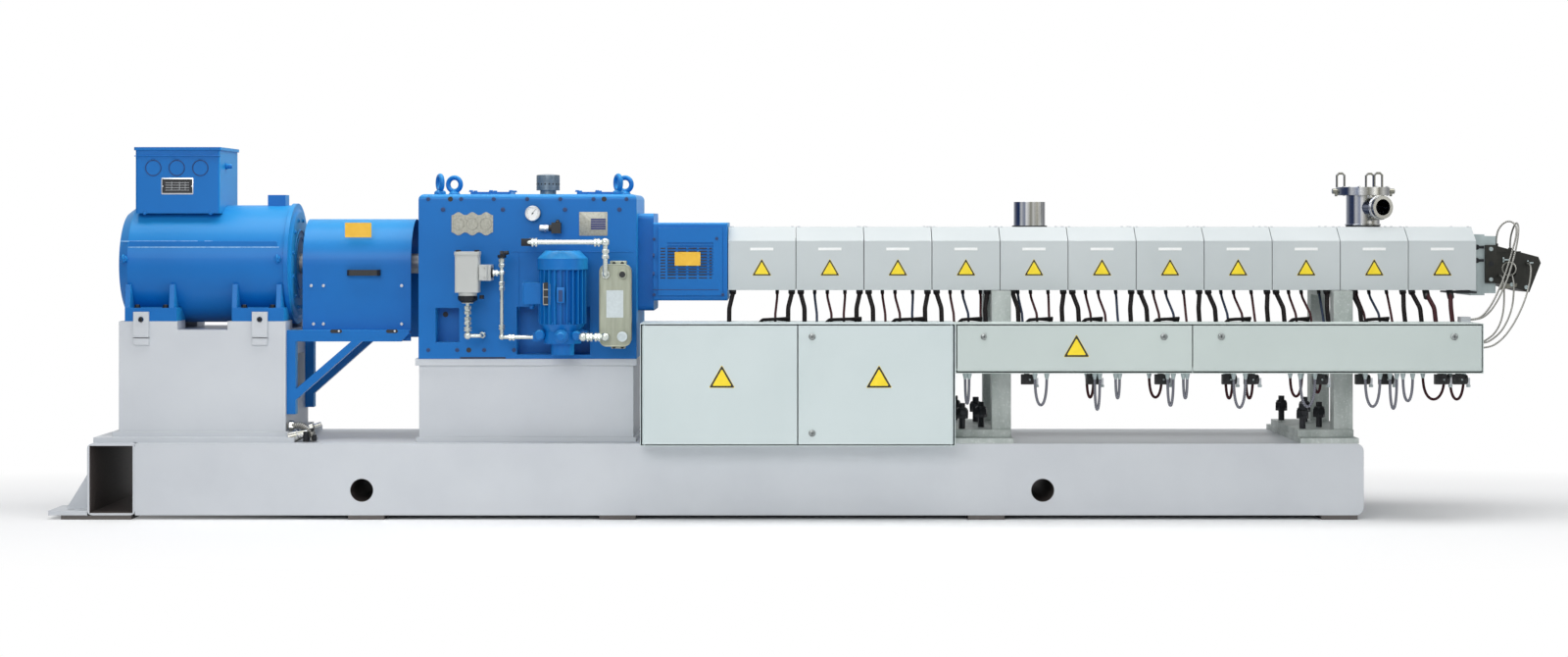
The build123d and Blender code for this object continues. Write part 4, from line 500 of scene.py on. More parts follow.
# heater hoses: dark brown grey
hoseBraid = braid("darkBraid", "#241E20", "#0A0808", 0.0, 0.7, 9, 6)
# silicone glass sleeve: dark red brown, and its blue kind
redSleeve = braid("redBraid", "#552A2F", "#281014", 0.0, 0.55, 5, 4)
blueSleeve = braid("blueSleeve", "#3F4C64", "#1E2636", 0.0, 0.6, 1.4, 8)
# water hose braid: blue grey mesh
greySleeve = braid("greyBraid", "#A7A8AE", "#5A5B66", 0.6, 0.42, 5, 4)

finishes = (
    (blue, "motor_body motor_terminal_box coupling_guard guard_brackets gearbox_housing eye_bolts"),
    (blue, "inspection_plates oil_pump pump_motor output_flange lantern_housing"),
    (grey, "base_frame base_end_tube anchor_feet motor_pad_plate motor_pedestal"),
    (grey, "jack_brackets gearbox_pedestal"),
    (cabinetPaint, "cabinet_body cabinet_door_left cabinet_door_right"),
    (troughPaint, "trough_body trough_flap_left trough_flap_right"),
    (coverPaint, "barrel_covers"),
    (nitrided, "barrel"),
    (machined, "cover_brackets coupling oil_pipes"),
    (polished, "vent_tube vacuum_port vacuum_lid"),
    (zinc, "die_adapter"),
    (weathered, "support_stand_left support_stand_right"),
    (darkScrew, "jack_studs oil_gauge"),
    (soles, "sole_strips"),
    (blackened, "die_head"),
    (brightScrew, "lead_glands valve_fittings water_hose"),
    (alloy, "oil_filter"),
    (breatherMetal, "breather"),
    (pressed, "heat_exchanger"),
    (plastic, "oil_sensor guard_handle cooling_valves"),
    (hoseBraid, "zone_hoses"),
    (redSleeve, "valve_loops_red"),
    (greySleeve, "valve_loops_grey"),
)
finishOf = {node: material for material, nodes in finishes for node in nodes.split()}
for nodeName, cadNode in cadNodes.items():
    cadNode.data.materials.clear()
    cadNode.data.materials.append(finishOf.get(nodeName, leadBraid))
print("materials on the CAD nodes")

# braided leads of the die: routes in millimetres
leadRoutes = {
    "die_lead_a": (
        (3901, -100, 1196), (3901, -100, 1236), (3920, -104, 1278), (3952, -118, 1300), (3980, -142, 1280),
        (3974, -162, 1230), (3954, -176, 1170), (3930, -196, 1106), (3900, -228, 1044), (3864, -272, 986),
        (3824, -322, 934), (3784, -364, 894), (3742, -392, 868), (3702, -392, 868),
    ),
    "die_lead_b": (
        (3982, -30, 1176), (3982, -30, 1214), (3988, -50, 1260), (3992, -92, 1292), (3990, -142, 1276),
        (3980, -170, 1228), (3964, -188, 1166), (3942, -206, 1102), (3914, -236, 1040), (3878, -278, 982),
        (3838, -326, 932), (3796, -372, 894), (3746, -412, 868), (3702, -412, 868),
    ),
    "die_lead_c": (
        (3951, -138, 1060), (3951, -178, 1060), (3950, -208, 1024), (3944, -230, 974), (3930, -258, 918),
        (3900, -298, 862), (3858, -342, 812), (3810, -376, 780), (3775, -392, 765), (3737, -392, 765),
    ),
    "die_lead_d": (
        (4028, -152, 1107), (4028, -194, 1107), (4022, -224, 1068), (4006, -248, 1010), (3978, -282, 946),
        (3938, -326, 884), (3892, -370, 826), (3842, -404, 778), (3786, -424, 746), (3737, -424, 746),
    ),
    "die_lead_e": (
        (3904, -152, 1054), (3904, -192, 1054), (3903, -220, 1018), (3899, -240, 966), (3890, -266, 908),
        (3868, -302, 852), (3832, -340, 806), (3796, -360, 782), (3768, -368, 768), (3737, -368, 768),
    ),
}
leadFacts = {"radius": 4.0, "sides": 12}
leadLengths = {}
for leadName, route in leadRoutes.items():
    points = smoothRoute(route)
    length = sum((after - before).length for before, after in zip(points, points[1:])) / 1000
    lead = draw(
        leadName.replace("die_lead_", "dieLead."),
        leadBraid,
        [(tube, points, leadFacts["radius"], leadFacts["sides"])],
        replaced=leadName,
    )
    leadLengths[leadName] = round(length, 3)
print("die leads", leadLengths)


# motor: plain rating plate, pressed knock-outs, gland, seam beads, ears, foot bolts
motorFacts = {
    "front": -200, "boxLeft": -2144, "boxRight": -1773,
    "knockouts": (-2066, -1962, -1858), "knockoutRise": 1531,
    "ears": (-2180, -1504), "flange": -1450, "boltRing": 200, "footBolts": (-2121, -1997, -1651, -1527),
    "seams": ((-2200, -1860, 1207, 243), (-1830, -1795, 1207, 243), (-2165, -1500, 1181, 253)),
}


def dressMotor(facts):
    front, rise, left, right = (facts[key] for key in ("front", "knockoutRise", "boxLeft", "boxRight"))
    flange, ring, knockouts = facts["flange"], facts["boltRing"], facts["knockouts"]
    draw("motorDetails", blue, [
        *[(slab, (x - 9, front - 1.5, rise + 38), (x + 9, front, rise + 41), 0.5) for x in knockouts],
        (slab, (left - 5, front - 7, 1582), (right + 5, front + 2, 1586), 1),
        *[(hexHead, (x, front, 1332), toViewer, 7, 6) for x in (left + 40, right - 40)],
        *[(ringBead, (x, side * 272, 1130), along, 15, 5, 28, 10) for x in facts["ears"] for side in flanks],
        *[(hexHead, (flange, ring * c, shaftHeight + ring * s), along, 8, 7) for c, s in circle(12, 15)],
        *[(ringBead, (flange, 0, shaftHeight), along, radius, 4, 64, 8) for radius in (150, 118)],
    ])
    # painted shade: darker blue rings in the grooves round the knock-outs
    draw("knockoutShadeRings", shadeBlue, [
        (ringBead, (x, front, rise), toViewer, 34, 2.4, 48, 8) for x in knockouts
    ])
    # painted highlight: pale blue strips on the seam beads where they catch the light
    draw("motorSeams", seamHighlight, [
        (slab, (low, side * depth, lift - 2.4), (high, side * (depth - 12), lift + 2.4), 1)
        for side in flanks for low, high, lift, depth in facts["seams"]
    ])
    draw("motorFootBolts", darkScrew, [
        (hexHead, (x, side * 262, 915), upward, 12, 14) for x in facts["footBolts"] for side in flanks
    ])
    draw("motorPlateFrame", brightScrew, [
        (label, -2030, -1889, 1414, 1487, 3, front - 1.2, 1.2, 0.4),
        *[(capScrew, (x, front - 1.2, 1450), toViewer, 3, 1.6) for x in (-2024, -1895)],
    ])
    draw("motorPlateField", inkBlack, [(label, -2026, -1893, 1420, 1482, 1, front - 1.8, 0.8)])
    draw("motorPlateLines", brightScrew, [
        *[(slab, (-2012, front - 2.1, z), (-1907, front - 1.8, z + 1.4)) for z in range(1432, 1476, 11)],
        *[(slab, (x, front - 2.1, 1432), (x + 1.2, front - 1.8, 1470)) for x in (-1985, -1950, -1925)],
    ])
    gland = ((14, 0), (14, 8), (11, 10), (11, 24), (8, 30))
    draw("motorGland", blue, [(turned, gland, (right, -70, 1541), along)])


# jack brackets: set screw through each drilled plate and the welded ledge below it
jackFacts = {"lefts": (-2133, -1612), "width": 68, "face": 291}


def dressJacks(facts):
    wide, face = facts["width"], facts["face"]
    places = [(left, side) for left in facts["lefts"] for side in flanks]
    draw("jackScrews", darkScrew, [
        (capScrew, (left + wide / 2, side * face, 864), (0, side, 0), 9, 9) for left, side in places
    ])
    draw("jackLedges", grey, [
        (slab, (left - out, side * (face + near), low), (left + wide + out, side * (face - far), high), 1)
        for left, side in places for out, near, far, low, high in ((0, 0, 14, 752, 786), (1, 5, 2, 786, 791))
    ])


# guard: blank amber label, screws, and the slotted bolts of its brackets
guardFacts = {
    "front": 200, "bracketFront": -255.4, "bracketBolts": (-1248, -1002),
    "screws": ((-1367, 1010), (-1313, 1010), (-1357, 841), (-1313, 841), (-967, 1010), (-967, 841)),
}


def dressGuard(facts):
    front, bracket, bolts = facts["front"], facts["bracketFront"], facts["bracketBolts"]
    draw("guardLabel", amber, [(label, -1218, -1101, 1224, 1289, 3, -front - 0.6, 0.6)])
    draw("guardScrews", brightScrew, [
        (capScrew, (x, side * front, z), (0, side, 0), 7, 5) for x, z in facts["screws"] for side in flanks
    ])
    # painted shade: black slots round the bracket bolts
    draw("bracketSlotShade", inkBlack, [(label, x - 26, x + 26, 803, 819, 8, bracket, 0.4) for x in bolts])
    draw("bracketBolts", brightScrew, [(hexHead, (x + 12, bracket, 812), toViewer, 3.5, 2) for x in bolts])


# gearbox front: bolt rows, relief plate, rating plate with a bare blue table, gauge and sensor
gearFacts = {
    "front": -330, "top": 1414, "gauge": (-373, 1330), "breather": -337, "relief": (-639.5, 1284),
    "screwRows": (
        (1392, 9, (-832, -688.5, -545.5, -399.5, -254.5, -109, 35)),
        (1346, 10, (-767.5, -505.5, -234, 4)),
        (732, 9, (-832, -706, -587.5, -457)),
    ),
    "darkHoles": ((-735.5, 1392), (-63, 1392), (-655, 732)),
    "plateBolts": (-673, -584, -495, -199, -110, -21),
}


def waveOutline(centreX, centreZ, halfWidth=91, halfHeight=37, swell=14, waves=3, steps=48):
    outline = []
    for step in range(steps + 1):
        share = step / steps
        bulge = swell * math.sin(math.pi * waves * share) ** 2
        outline.append((centreX + halfWidth * (2 * share - 1), centreZ + halfHeight + bulge))
    return outline + [(2 * centreX - x, 2 * centreZ - z) for x, z in outline]


def dressGearbox(facts):
    front, top, breather, holes = (facts[key] for key in ("front", "top", "breather", "darkHoles"))
    # painted shade: the blue cap screws drawn in the darker blue of shade
    draw("gearScrews", shadeBlue, [
        (capScrew, (x, side * -front, z), (0, side, 0), radius, 3)
        for side in flanks for z, radius, row in facts["screwRows"] for x in row
    ])
    # painted shade: black discs in the holes and a black strip in the gap under the housing
    draw("gearHoleShade", inkBlack, [
        *[(disc, 11, 0.6, (x, side * -front, z), (0, side, 0), 28) for x, z in holes for side in flanks],
        (slab, (-693, front - 0.8, 695), (-494, front, 701)),
        (disc, 12, 1, (-768, -240.5, 885), toViewer, 28),
    ])
    draw("gearSeams", blue, [
        (slab, (-470, front - 1.5, 1160), (68, front, 1163.5), 0.6),
        (slab, (-437, front - 1.5, 905), (-434, front, 1160), 0.6),
        *[(hexHead, (x, y, top + 12), upward, 9, 8) for x in facts["plateBolts"] for y in (-85, 85)],
    ])
    x, z = facts["relief"]
    face = front - 2.5
    draw("reliefPlate", stampedZinc, [
        (plate, waveOutline(x, z), face, 2.5, 0.8),
        *[(ringBead, (x + shift, face, z), toViewer, 25, 1.2, 40, 8) for shift in (-60, 0, 60)],
        *[(capScrew, (x + out, face, z + rise), toViewer, 3.5, 2) for out in (-83, 83) for rise in (-34, 34)],
    ])
    face = front - 1.5
    draw("ratingPlate", stampedZinc, [
        (label, -172, -48, 1232, 1336, 3, face, 1.5, 0.5),
        *[(capScrew, (x, face, z), toViewer, 3, 1.6) for x in (-166, -54) for z in (1238, 1330)],
    ])
    draw("ratingTable", inkBlue, [
        (slab, (-121, face - 0.4, z), (-56, face, z + 8)) for z in range(1259, 1309, 10)
    ])
    x, z = facts["gauge"]
    centre = (x, front - 28, z)
    rim = [(33, -20), (33, 4), (30.5, 5.5), (28, 4), (28, 1), (0, 1)]
    draw("gaugeRim", brightScrew, [(lathe, rim, centre, toViewer, 56)])
    draw("gaugeDial", dialWhite, [(disc, 28, 1.6, centre, toViewer, 48)])
    marks = []
    for tick in range(25):
        turn = math.radians(-45 + tick * 11.25)
        ends = (22.5 if tick % 4 else 20, 25)
        line = [(x + reach * math.cos(turn), front - 29.9, z + reach * math.sin(turn)) for reach in ends]
        marks.append((tube, line, 0.45, 6))
    draw("gaugeMarks", inkBlack, marks + [
        (tube, [(x - 5, front - 30.2, z - 7), (x + 13, front - 30.2, z + 18)], 0.8, 6),
        (disc, 3.5, 1.5, (x, front - 29.6, z), toViewer, 20),
    ])
    draw("sensorSleeve", brightScrew, [
        (turned, ((12, 0), (14.6, 3), (14.6, 40), (12.5, 43), (12.5, 54)), (-344, -360, 1266), along, 32),
        (hexNut, (-322, -360, 1266), along, 17, 9),
    ])
    draw("sensorPlug", plastic, [
        (turned, ((10, 0), (10, 10), (7, 13), (7, 18)), (-265, -360, 1284), (0.15, 0, 1)),
        (ringBead, (-288, -360, 1266), along, 15, 3, 28, 8),
    ])
    # painted shade: black discs for the vent holes of the breather
    draw("breatherHoleShade", inkBlack, [
        (disc, 4, 0.8, (breather + 51.6 * c, 51.6 * s, 1462), (c, s, 0), 16) for c, s in circle(18)
    ])
    draw("breatherRings", breatherMetal, [
        *[(ringBead, (breather, 0, lift), upward, 52, 1.2, 56, 8) for lift in (1436, 1448, 1478, 1488)],
        (lathe, [(52, 0), (50, 3), (20, 6), (0, 6.5)], (breather, 0, 1500), upward, 48),
    ])
    foot = [(0, 0), (26, 0), (26, 8), (22, 14), (14, 18), (11, 24)]
    steps = []
    for x in (-790, -6):
        for y, across in ((-255, (1, 0.45, 0)), (255, (0.3, 1, 0))):
            steps.append((lathe, foot, (x, y, top), upward, 32))
            steps.append((ringBead, (x, y, top + 50), across, 31, 11, 48, 16))
    draw("liftingEyes", blue, steps, replaced="eye_bolts")


# oil set: round pipes with screwed fittings, filter screws, finned motor trim, exchanger ports
oilFacts = {
    "pipe": 8.6, "supplyPipe": 10.8, "plane": -430, "supplyPlane": -540,
    "pump": (-235, -445), "port": (28, 1066), "elbow": (-44, 1205), "lowRun": 799,
}


def fitting(shape, place, direction, length, radius):
    # compression fitting: nut, collar and nut along the pipe
    start, forward = Vector(place), Vector(direction).normalized()
    hexNut(shape, start, direction, radius, length * 0.4)
    disc(shape, radius * 0.8, length * 0.2, start + forward * length * 0.4, direction)
    hexNut(shape, start + forward * length * 0.6, direction, radius, length * 0.4)


def dressOilPipes(facts):
    plane, supply, thin, thick = (facts[key] for key in ("plane", "supplyPlane", "pipe", "supplyPipe"))
    (x, z), low = facts["elbow"], facts["lowRun"]
    draw("oilPipes", zincPipe, [(pipe, route, 26, radius, 20) for route, radius in (
        (((-500, plane, 1161), (-500, plane, 793), (-363, plane, 793)), thin),
        (((-648, plane, 940), (-648, plane, low), (-592, plane, low), (-592, -330, low)), thin),
        (((-380, -330, z), (-380, supply, z), (x, supply, z), (x, supply, 1066), (x, -500, 1066)), thick),
        (((-140, -480, low), (-140, supply, low), (x, supply, low), (x, -500, low)), thick),
        (((-546, plane, 1072), (-500, plane, 1072)), thin),
    )], replaced="oil_pipes")
    draw("oilFittings", zincPipe, [
        *[(fitting, *values) for values in (
            ((-500, plane, 1034), downward, 38, 14), ((-500, plane, 847), downward, 22, 15),
            ((-500, plane, 1096), upward, 38, 14), ((-470, plane, 793), along, 26, 15),
            ((-540, plane, 1072), along, 24, 15), ((-648, plane, 928), downward, 36, 17),
            ((-648, plane, 880), downward, 34, 17), ((-648, plane, 838), downward, 20, 19),
            ((-592, -372, low), (0, 1, 0), 30, 15), ((-361, supply, z), along, 26, 19),
            ((-92, supply, z), along, 26, 19), ((x, supply, 1174), downward, 40, 17),
            ((-380, -366, z), (0, 1, 0), 30, 17), ((x, -516, 1066), (0, 1, 0), 14, 19),
            ((-124, supply, low), along, 26, 20), ((-90, supply, low), along, 26, 20),
            ((x, -522, low), (0, 1, 0), 20, 19), ((-140, -512, low), (0, 1, 0), 26, 19),
        )],
        *[(ball, place, radius) for place, radius in (
            ((-500, plane, 1072), 14), ((x, supply, z), 19), ((-648, plane, 800), 17),
            ((-500, plane, 795), 14), ((x, supply, low), 19), ((-140, supply, low), 19),
        )],
    ])
    draw("oilBlackPieces", darkScrew, [
        (slab, (-405, -548, 1189), (-364, -500, 1221), 2),
        (hexNut, (-500, plane, 1136), upward, 19, 14),
        (disc, 17, 14, (-506, plane, 1152), (1, 0, 0.1), 6),
        (turned, ((9, 0), (9, 18), (6, 21)), (-490, plane, 1157), (1, 0, 0.15), 20),
        (disc, 21, 8, (-546, plane, 1072), along, 28),
        (disc, 10, 16, (-582, -470, 960), upward, 20),
        (lathe, [(24, 0), (40.6, 12), (43, 22), (43, 30), (36, 34)], (-648, plane, 941), upward, 48),
        *[(capScrew, (x, y, 1164), upward, 7, 7) for x in (-688, -608) for y in (plane - 36, plane + 36)],
    ])
    draw("filterTrim", alloy, [
        (slab, (-594, -478, 1040), (-560, -400, 1106), 3),
        (slab, (-700.5, -474.4, 1143), (-595.5, -386, 1147), 1),
        *[(capScrew, (-569, -478, z), toViewer, 5, 4) for z in (1052, 1094)],
    ])


def dressPump(facts):
    x, y = facts["pump"]
    draw("pumpTrim", blue, [
        (ringBead, (x, y, 1090), upward, 108, 2.5, 64, 8),
        (ringBead, (x, y, 1134), upward, 108, 1.8, 64, 8),
        *[(hexHead, (x + 90 * c, y + 90 * s, 852), upward, 7, 8) for c, s in circle(8, 22.5)],
        (slab, (-404, -492, 938), (-398, -398, 1032), 2),
        *[(capScrew, (-404, out, z), (-1, 0, 0), 4, 3) for z in (948, 1022) for out in (-482, -408)],
        (turned, ((13, 0), (13, 10), (9, 14), (9, 22)), (-368, y, 938), downward),
        (label, -252, -218, 945, 1012, 4, -553, 8, 1),
        *[(capScrew, (place, -466, 822), toViewer, 7, 6) for place in (-322, -290, -180, -148)],
        (turned, ((30, 0), (30, 8), (20, 14), (20, 30), (14, 36)), (x, -525, 800), toViewer, 32),
        (turned, ((22, 0), (22, 50), (16, 56)), (-330, y, 805), toViewer, 28),
        (turned, ((20, 0), (20, 46), (15, 52)), (-170, -480, 803), toViewer, 28),
    ])
    # painted shade: a darker blue field on the boss
    draw("pumpWindowShade", shadeBlue, [(label, -244, -226, 950, 1000, 2, -553.6, 0.8)])
    draw("pumpPlate", stampedZinc, [(label, -312, -282, 935, 1029, 3, -533, 3, 0.8)])
    draw("pumpPlateField", inkBlack, [
        (slab, (-309, -533.6, z), (-285, -533, z + 28)) for z in (940, 972, 1004)
    ])
    # painted shade: darker blue discs for the holes of the fan cover
    draw("fanHoleShade", shadeBlue, [
        (disc, 5, 0.5, (x + reach * c, y + reach * s, 1168.4), upward, 14)
        for reach, start in ((20, 0), (34, 15), (48, 30), (62, 45)) for c, s in circle(6, start)
    ])


def dressExchanger(facts):
    x, z = facts["port"]
    rim = roundedOutline(-70, 63, 758, 1108, 30, 8)
    draw("exchangerRim", pressed, [
        (tube, [(place, -499, rise) for place, rise in rim + rim[:2]], 3.5, 8),
        (ringBead, (x, -500, z), toViewer, 17, 3, 36, 10),
        (turned, ((19, 0), (19, 10), (16, 13)), (-44, -500, z), toViewer, 36),
        (slab, (-30, -452, 1100), (42, -402, 1124), 2),
        (slab, (-24, -452, 744), (36, -402, 762), 2),
    ])
    draw("exchangerBolts", inkBlack, [
        *[(hexHead, (place, -452, rise), toViewer, 6, 5) for place in (-12, 24) for rise in (1112, 752)],
        # painted shade: black disc in the mouth of the port
        (disc, 13.5, 0.8, (x, -522.2, z), toViewer, 32),
    ])
    draw("exchangerLabel", paleLabel, [(label, -42, 31, 880, 998, 2, -500.8, 0.8)])
    draw("exchangerPlug", paleLabel, [
        (turned, ((22, 0), (22, 5), (15, 8), (15, 3)), (x, -522, 799), toViewer, 36)
    ])


dressMotor(motorFacts)
dressJacks(jackFacts)
dressGuard(guardFacts)
dressGearbox(gearFacts)
dressOilPipes(oilFacts)
dressPump(oilFacts)
dressExchanger(oilFacts)
print("drive side dressed")


# end tube and lifting pipes: painted shade, thin dark red-brown sheets inside them where shade falls
hollowFacts = {
    "left": -2294, "right": -2106, "low": 28, "high": 320, "pipes": (-1111, 1848), "pipeHeight": 127,
}


def dressHollows(facts):
    left, right, low, high = (facts[key] for key in ("left", "right", "low", "high"))
    pipeWall = [(48.6, 2), (49.4, 2), (49.4, 818), (48.6, 818), (48.6, 2)]
    draw("hollowShadeSheets", hollowShade, [
        *[(slab, (x, -408, z), (farX, 408, farZ)) for x, z, farX, farZ in (
            (left, low, right, low + 2), (left, high - 2, right, high),
            (left, low + 2, left + 2, high - 2), (right - 2, low + 2, right, high - 2),
        )],
        *[(lathe, pipeWall, (x, 410, facts["pipeHeight"]), toViewer, 64) for x in facts["pipes"]],
    ])


# lantern: blank amber label and panel screws
lanternFacts = {
    "face": 258, "screws": ((152, 1216), (428, 1219), (152, 972), (455, 972)),
    "ventLeft": 166, "ventPitch": 45.8, "ventWidth": 36, "ventLow": 1046, "ventRise": 13,
    "columns": 6, "rows": 11, "panelLeft": 180, "panelRight": 406,
}


def dressLantern(facts):
    face = facts["face"]
    draw("lanternLabel", amber, [(label, 243, 356, 1100, 1160, 3, -259.6, 1.6)])
    # painted shade: screws, seam strip and flange bolts in the darker blue of shade
    draw("lanternScrews", shadeBlue, [
        *[(capScrew, (x, side * face, z), (0, side, 0), 7, 4) for side in flanks for x, z in facts["screws"]],
        *[(slab, (145, side * face, 992.5), (436, side * (face + 0.6), 995.5), 0.3) for side in flanks],
        *[(hexHead, (148, 300 * c, shaftHeight + 130 * s), along, 9, 8) for c, s in circle(10, 18)],
    ])
    # painted shade: black slots for the louvre openings
    vents = []
    for row in range(facts["rows"]):
        z = facts["ventLow"] + row * facts["ventRise"]
        for column in range(facts["columns"]):
            left = facts["ventLeft"] + column * facts["ventPitch"]
            right = min(left + facts["ventWidth"], facts["panelRight"])
            left = max(left, facts["panelLeft"])
            for side in flanks:
                lip = side * (face + 0.7)
                vents.append((slab, (left, side * face, z - 2.4), (right, lip, z + 2.4), 0.3))
    draw("lanternVentShade", inkBlack, vents)


# barrel covers: white grip slots and plain warning-shaped triangles, seen side and its repeat
coverFacts = {
    "start": 478, "pitch": 300, "count": 11, "middle": 148,
    "face": 240, "slotRise": 1172.7, "signLow": 1056, "sign": 82,
}
# layers of a sign, each a share of its size and the height of its face
signEdge, signField = ((0.96, 0.7),), ((1.0, 0.4), (0.7, 1.0))


def triangle(shape, layers, centreX, low, width, front):
    # plain sign: yellow with a thin black line inside its edge, corners rounded
    height, roundness = width * 0.866, width * 0.04
    towards = 1 if front > 0 else -1
    for share, lift in layers:
        points = []
        for cornerX, cornerZ, start in ((-0.46, -0.31, 180), (0.46, -0.31, 300), (0.0, 0.62, 60)):
            for c, s in circle(12, start)[:5]:
                x = cornerX * width * share + roundness * c
                points.append((centreX + x, low + height * (0.345 + cornerZ * share) + roundness * s))
        plate(shape, points, front + towards * lift, -towards * lift)


def dressCovers(facts):
    face, rise = facts["face"], facts["slotRise"]
    lefts = [facts["start"] + facts["pitch"] * number for number in range(facts["count"])]
    centres = [(left + facts["middle"], side) for left in lefts for side in flanks]
    signs = [(x, facts["signLow"], facts["sign"], side * face) for x, side in centres]
    draw("gripSlots", dialWhite, [
        (slab, (x - 51, side * face, rise - 6), (x + 51, side * (face + 0.8), rise + 6), 0.4)
        for x, side in centres
    ])
    draw("coverSignEdges", inkBlack, [(triangle, signEdge, *sign) for sign in signs])
    draw("coverSigns", yellow, [(triangle, signField, *sign) for sign in signs])
    draw("coverScrews", brightScrew, [
        (capScrew, (left + shift, y, 1270), upward, 6, 3)
        for left in lefts for shift in (12, 284) for y in (-150, 150)
    ])


# cabinet doors and trough flaps: signs and round locks that move with their doors
doorFacts = {
    "front": -550, "sign": 108,
    "signs": (
        ("cabinet_door_left", 457.3, 581), ("cabinet_door_right", 1132, 581),
        ("trough_flap_left", 1979.5, 713),
    ),
    "locks": (
        ("cabinet_door_right", ((845, 386), (845, 800))),
        ("trough_flap_left", ((1583, 800), (2355, 800))),
        ("trough_flap_right", ((2601, 800), (3601, 800))),
    ),
}


def dressDoors(facts):
    front = facts["front"]
    for body, centre, low in facts["signs"]:
        name, sign = body.replace("_", ""), (centre, low, facts["sign"], front)
        draw(name + "SignEdge", inkBlack, [(triangle, signEdge, *sign)], body=body)
        draw(name + "Sign", yellow, [(triangle, signField, *sign)], body=body)
    barrel = [(15, -1), (15, 3), (13, 5), (10, 6.6), (4, 7.2), (0, 7.2)]
    for body, places in facts["locks"]:
        name = body.replace("_", "")
        draw(name + "Locks", lockChrome, [
            (lathe, barrel, (x, front, z), toViewer, 40) for x, z in places
        ], body=body)
        # painted shade: a black slot in each keyway
        draw(name + "KeywayShade", inkBlack, [
            (slab, (x - 1.5, front - 8, z - 5), (x + 1.5, front - 7, z + 5), 0.3) for x, z in places
        ], body=body)


# zone hoses: braided pairs with collars under the covers, thin leads and bundles on the trough
zoneFacts = {
    "radius": 10.0, "trough": 856, "first": 478, "pitch": 300, "wide": (4, 9), "lean": 16,
    "red": (3560, 3665), "thin": ((82, 8), (138, 16), (216, -8)),
    "bundles": (
        (617, 750), (908, 1063), (1196, 1337), (1487, 1590), (1783, 1899),
        (2027, 2117), (2340, 2452), (2653, 2765), (2932, 3022), (3258, 3369),
    ),
}


def dressZones(facts):
    dark, red, collars = [], [], []
    places = []
    for joint in range(11):
        spread = 56 if joint in facts["wide"] else 20
        middle = facts["first"] + facts["pitch"] * joint
        places += [(middle + side * spread, side, dark, 20) for side in flanks if joint or side > 0]
    places += [(x, side, red, 46) for x, side in zip(facts["red"], (1, -1))]
    for x, side, steps, boot in places:
        foot = x + (side * facts["lean"] if x > 500 else -14)
        route = ((x, -112, 1027), (x, -165, 1027), (x, -225, 975), (foot, -300, 915), (foot, -330, 850))
        steps.append((pipe, route, 34, facts["radius"], 18))
        profile = ((14, 0), (15, 6), (15, boot), (12, boot + 4))
        collars.append((turned, profile, (x, -204, 994), (0, -0.66, -0.75)))
    draw("zoneHosesDark", hoseBraid, dark, replaced="zone_hoses")
    draw("zoneHosesRed", redSleeve, red)
    draw("zoneCollars", plastic, collars)
    thinRed, thinBlue, boots, bundles = [], [], [], []
    for number in range(10):
        for place, (offset, lean) in enumerate(facts["thin"]):
            if number == 0 and place < 2:
                continue
            x = facts["first"] + facts["pitch"] * number + offset
            route = ((x, -150, 1010), (x, -200, 960), (x + lean, -300, 890), (x + lean, -330, 850))
            (thinBlue if (number + place) % 3 == 1 else thinRed).append((pipe, route, 30, 5.5, 12))
            boots.append((turned, ((8, 0), (8, 20), (6, 24)), (x, -170, 992), (0, -0.6, -0.8), 16))
    lift = facts["trough"] + 9
    for left, right in facts["bundles"]:
        for shift in (0, 15):
            y = -335 - shift
            bend = ((left, y, lift - 14), (left + 14, y, lift), (right - 60, y, lift + 3))
            bundles.append((pipe, (*bend, (right, y + 10, lift - 2 + shift * 0.6)), 14, 7, 12))
    draw("thinLeadsRed", redSleeve, thinRed)
    draw("thinLeadsBlue", blueSleeve, thinBlue)
    draw("leadBoots", plastic, boots)
    draw("leadBundles", hoseBraid, bundles)
    draw("endBracket", darkScrew, [(slab, (3660, -230, 978), (3781, -60, 986), 1.5)])


# cooling valves under the trough: coils, necks, heads and cone fittings with their hose loops
valveFacts = {
    "left": 1460, "span": 2267, "bottom": 642, "plane": -420, "height": 214, "hose": 6.0,
    "shares": (0.140, 0.265, 0.396, 0.5245, 0.567, 0.699, 0.780, 0.825, 0.932, 0.9665),
    "red": (
        (0.257, 0.0132, 0.53), (0.377, 0.0243, 0.53), (0.524, 0.0132, 0.55), (0.563, 0.0132, 0.55),
        (0.648, 0.0225, 0.51), (0.694, 0.0132, 0.43), (0.903, 0.0415, 0.57), (0.955, 0.0265, 0.57),
    ),
    "grey": (
        (0.021, 0.0075, 0.63), (0.154, 0.0225, 0.66), (0.268, 0.0097, 0.75), (0.308, 0.0075, 0.52),
        (0.407, 0.0110, 0.67), (0.437, 0.0075, 0.52), (0.533, 0.0225, 0.71), (0.660, 0.0282, 0.69),
        (0.784, 0.0282, 0.69), (0.831, 0.0132, 0.73), (0.856, 0.0185, 0.575),
    ),
}


def hangingLoop(left, right, plane, top, depth, steps=24):
    # a hose that hangs between two fittings
    middle, reach = (left + right) / 2, (right - left) / 2
    turns = [math.pi * step / steps for step in range(steps + 1)]
    return [(middle - reach * math.cos(turn), plane, top - depth * math.sin(turn) ** 0.7) for turn in turns]


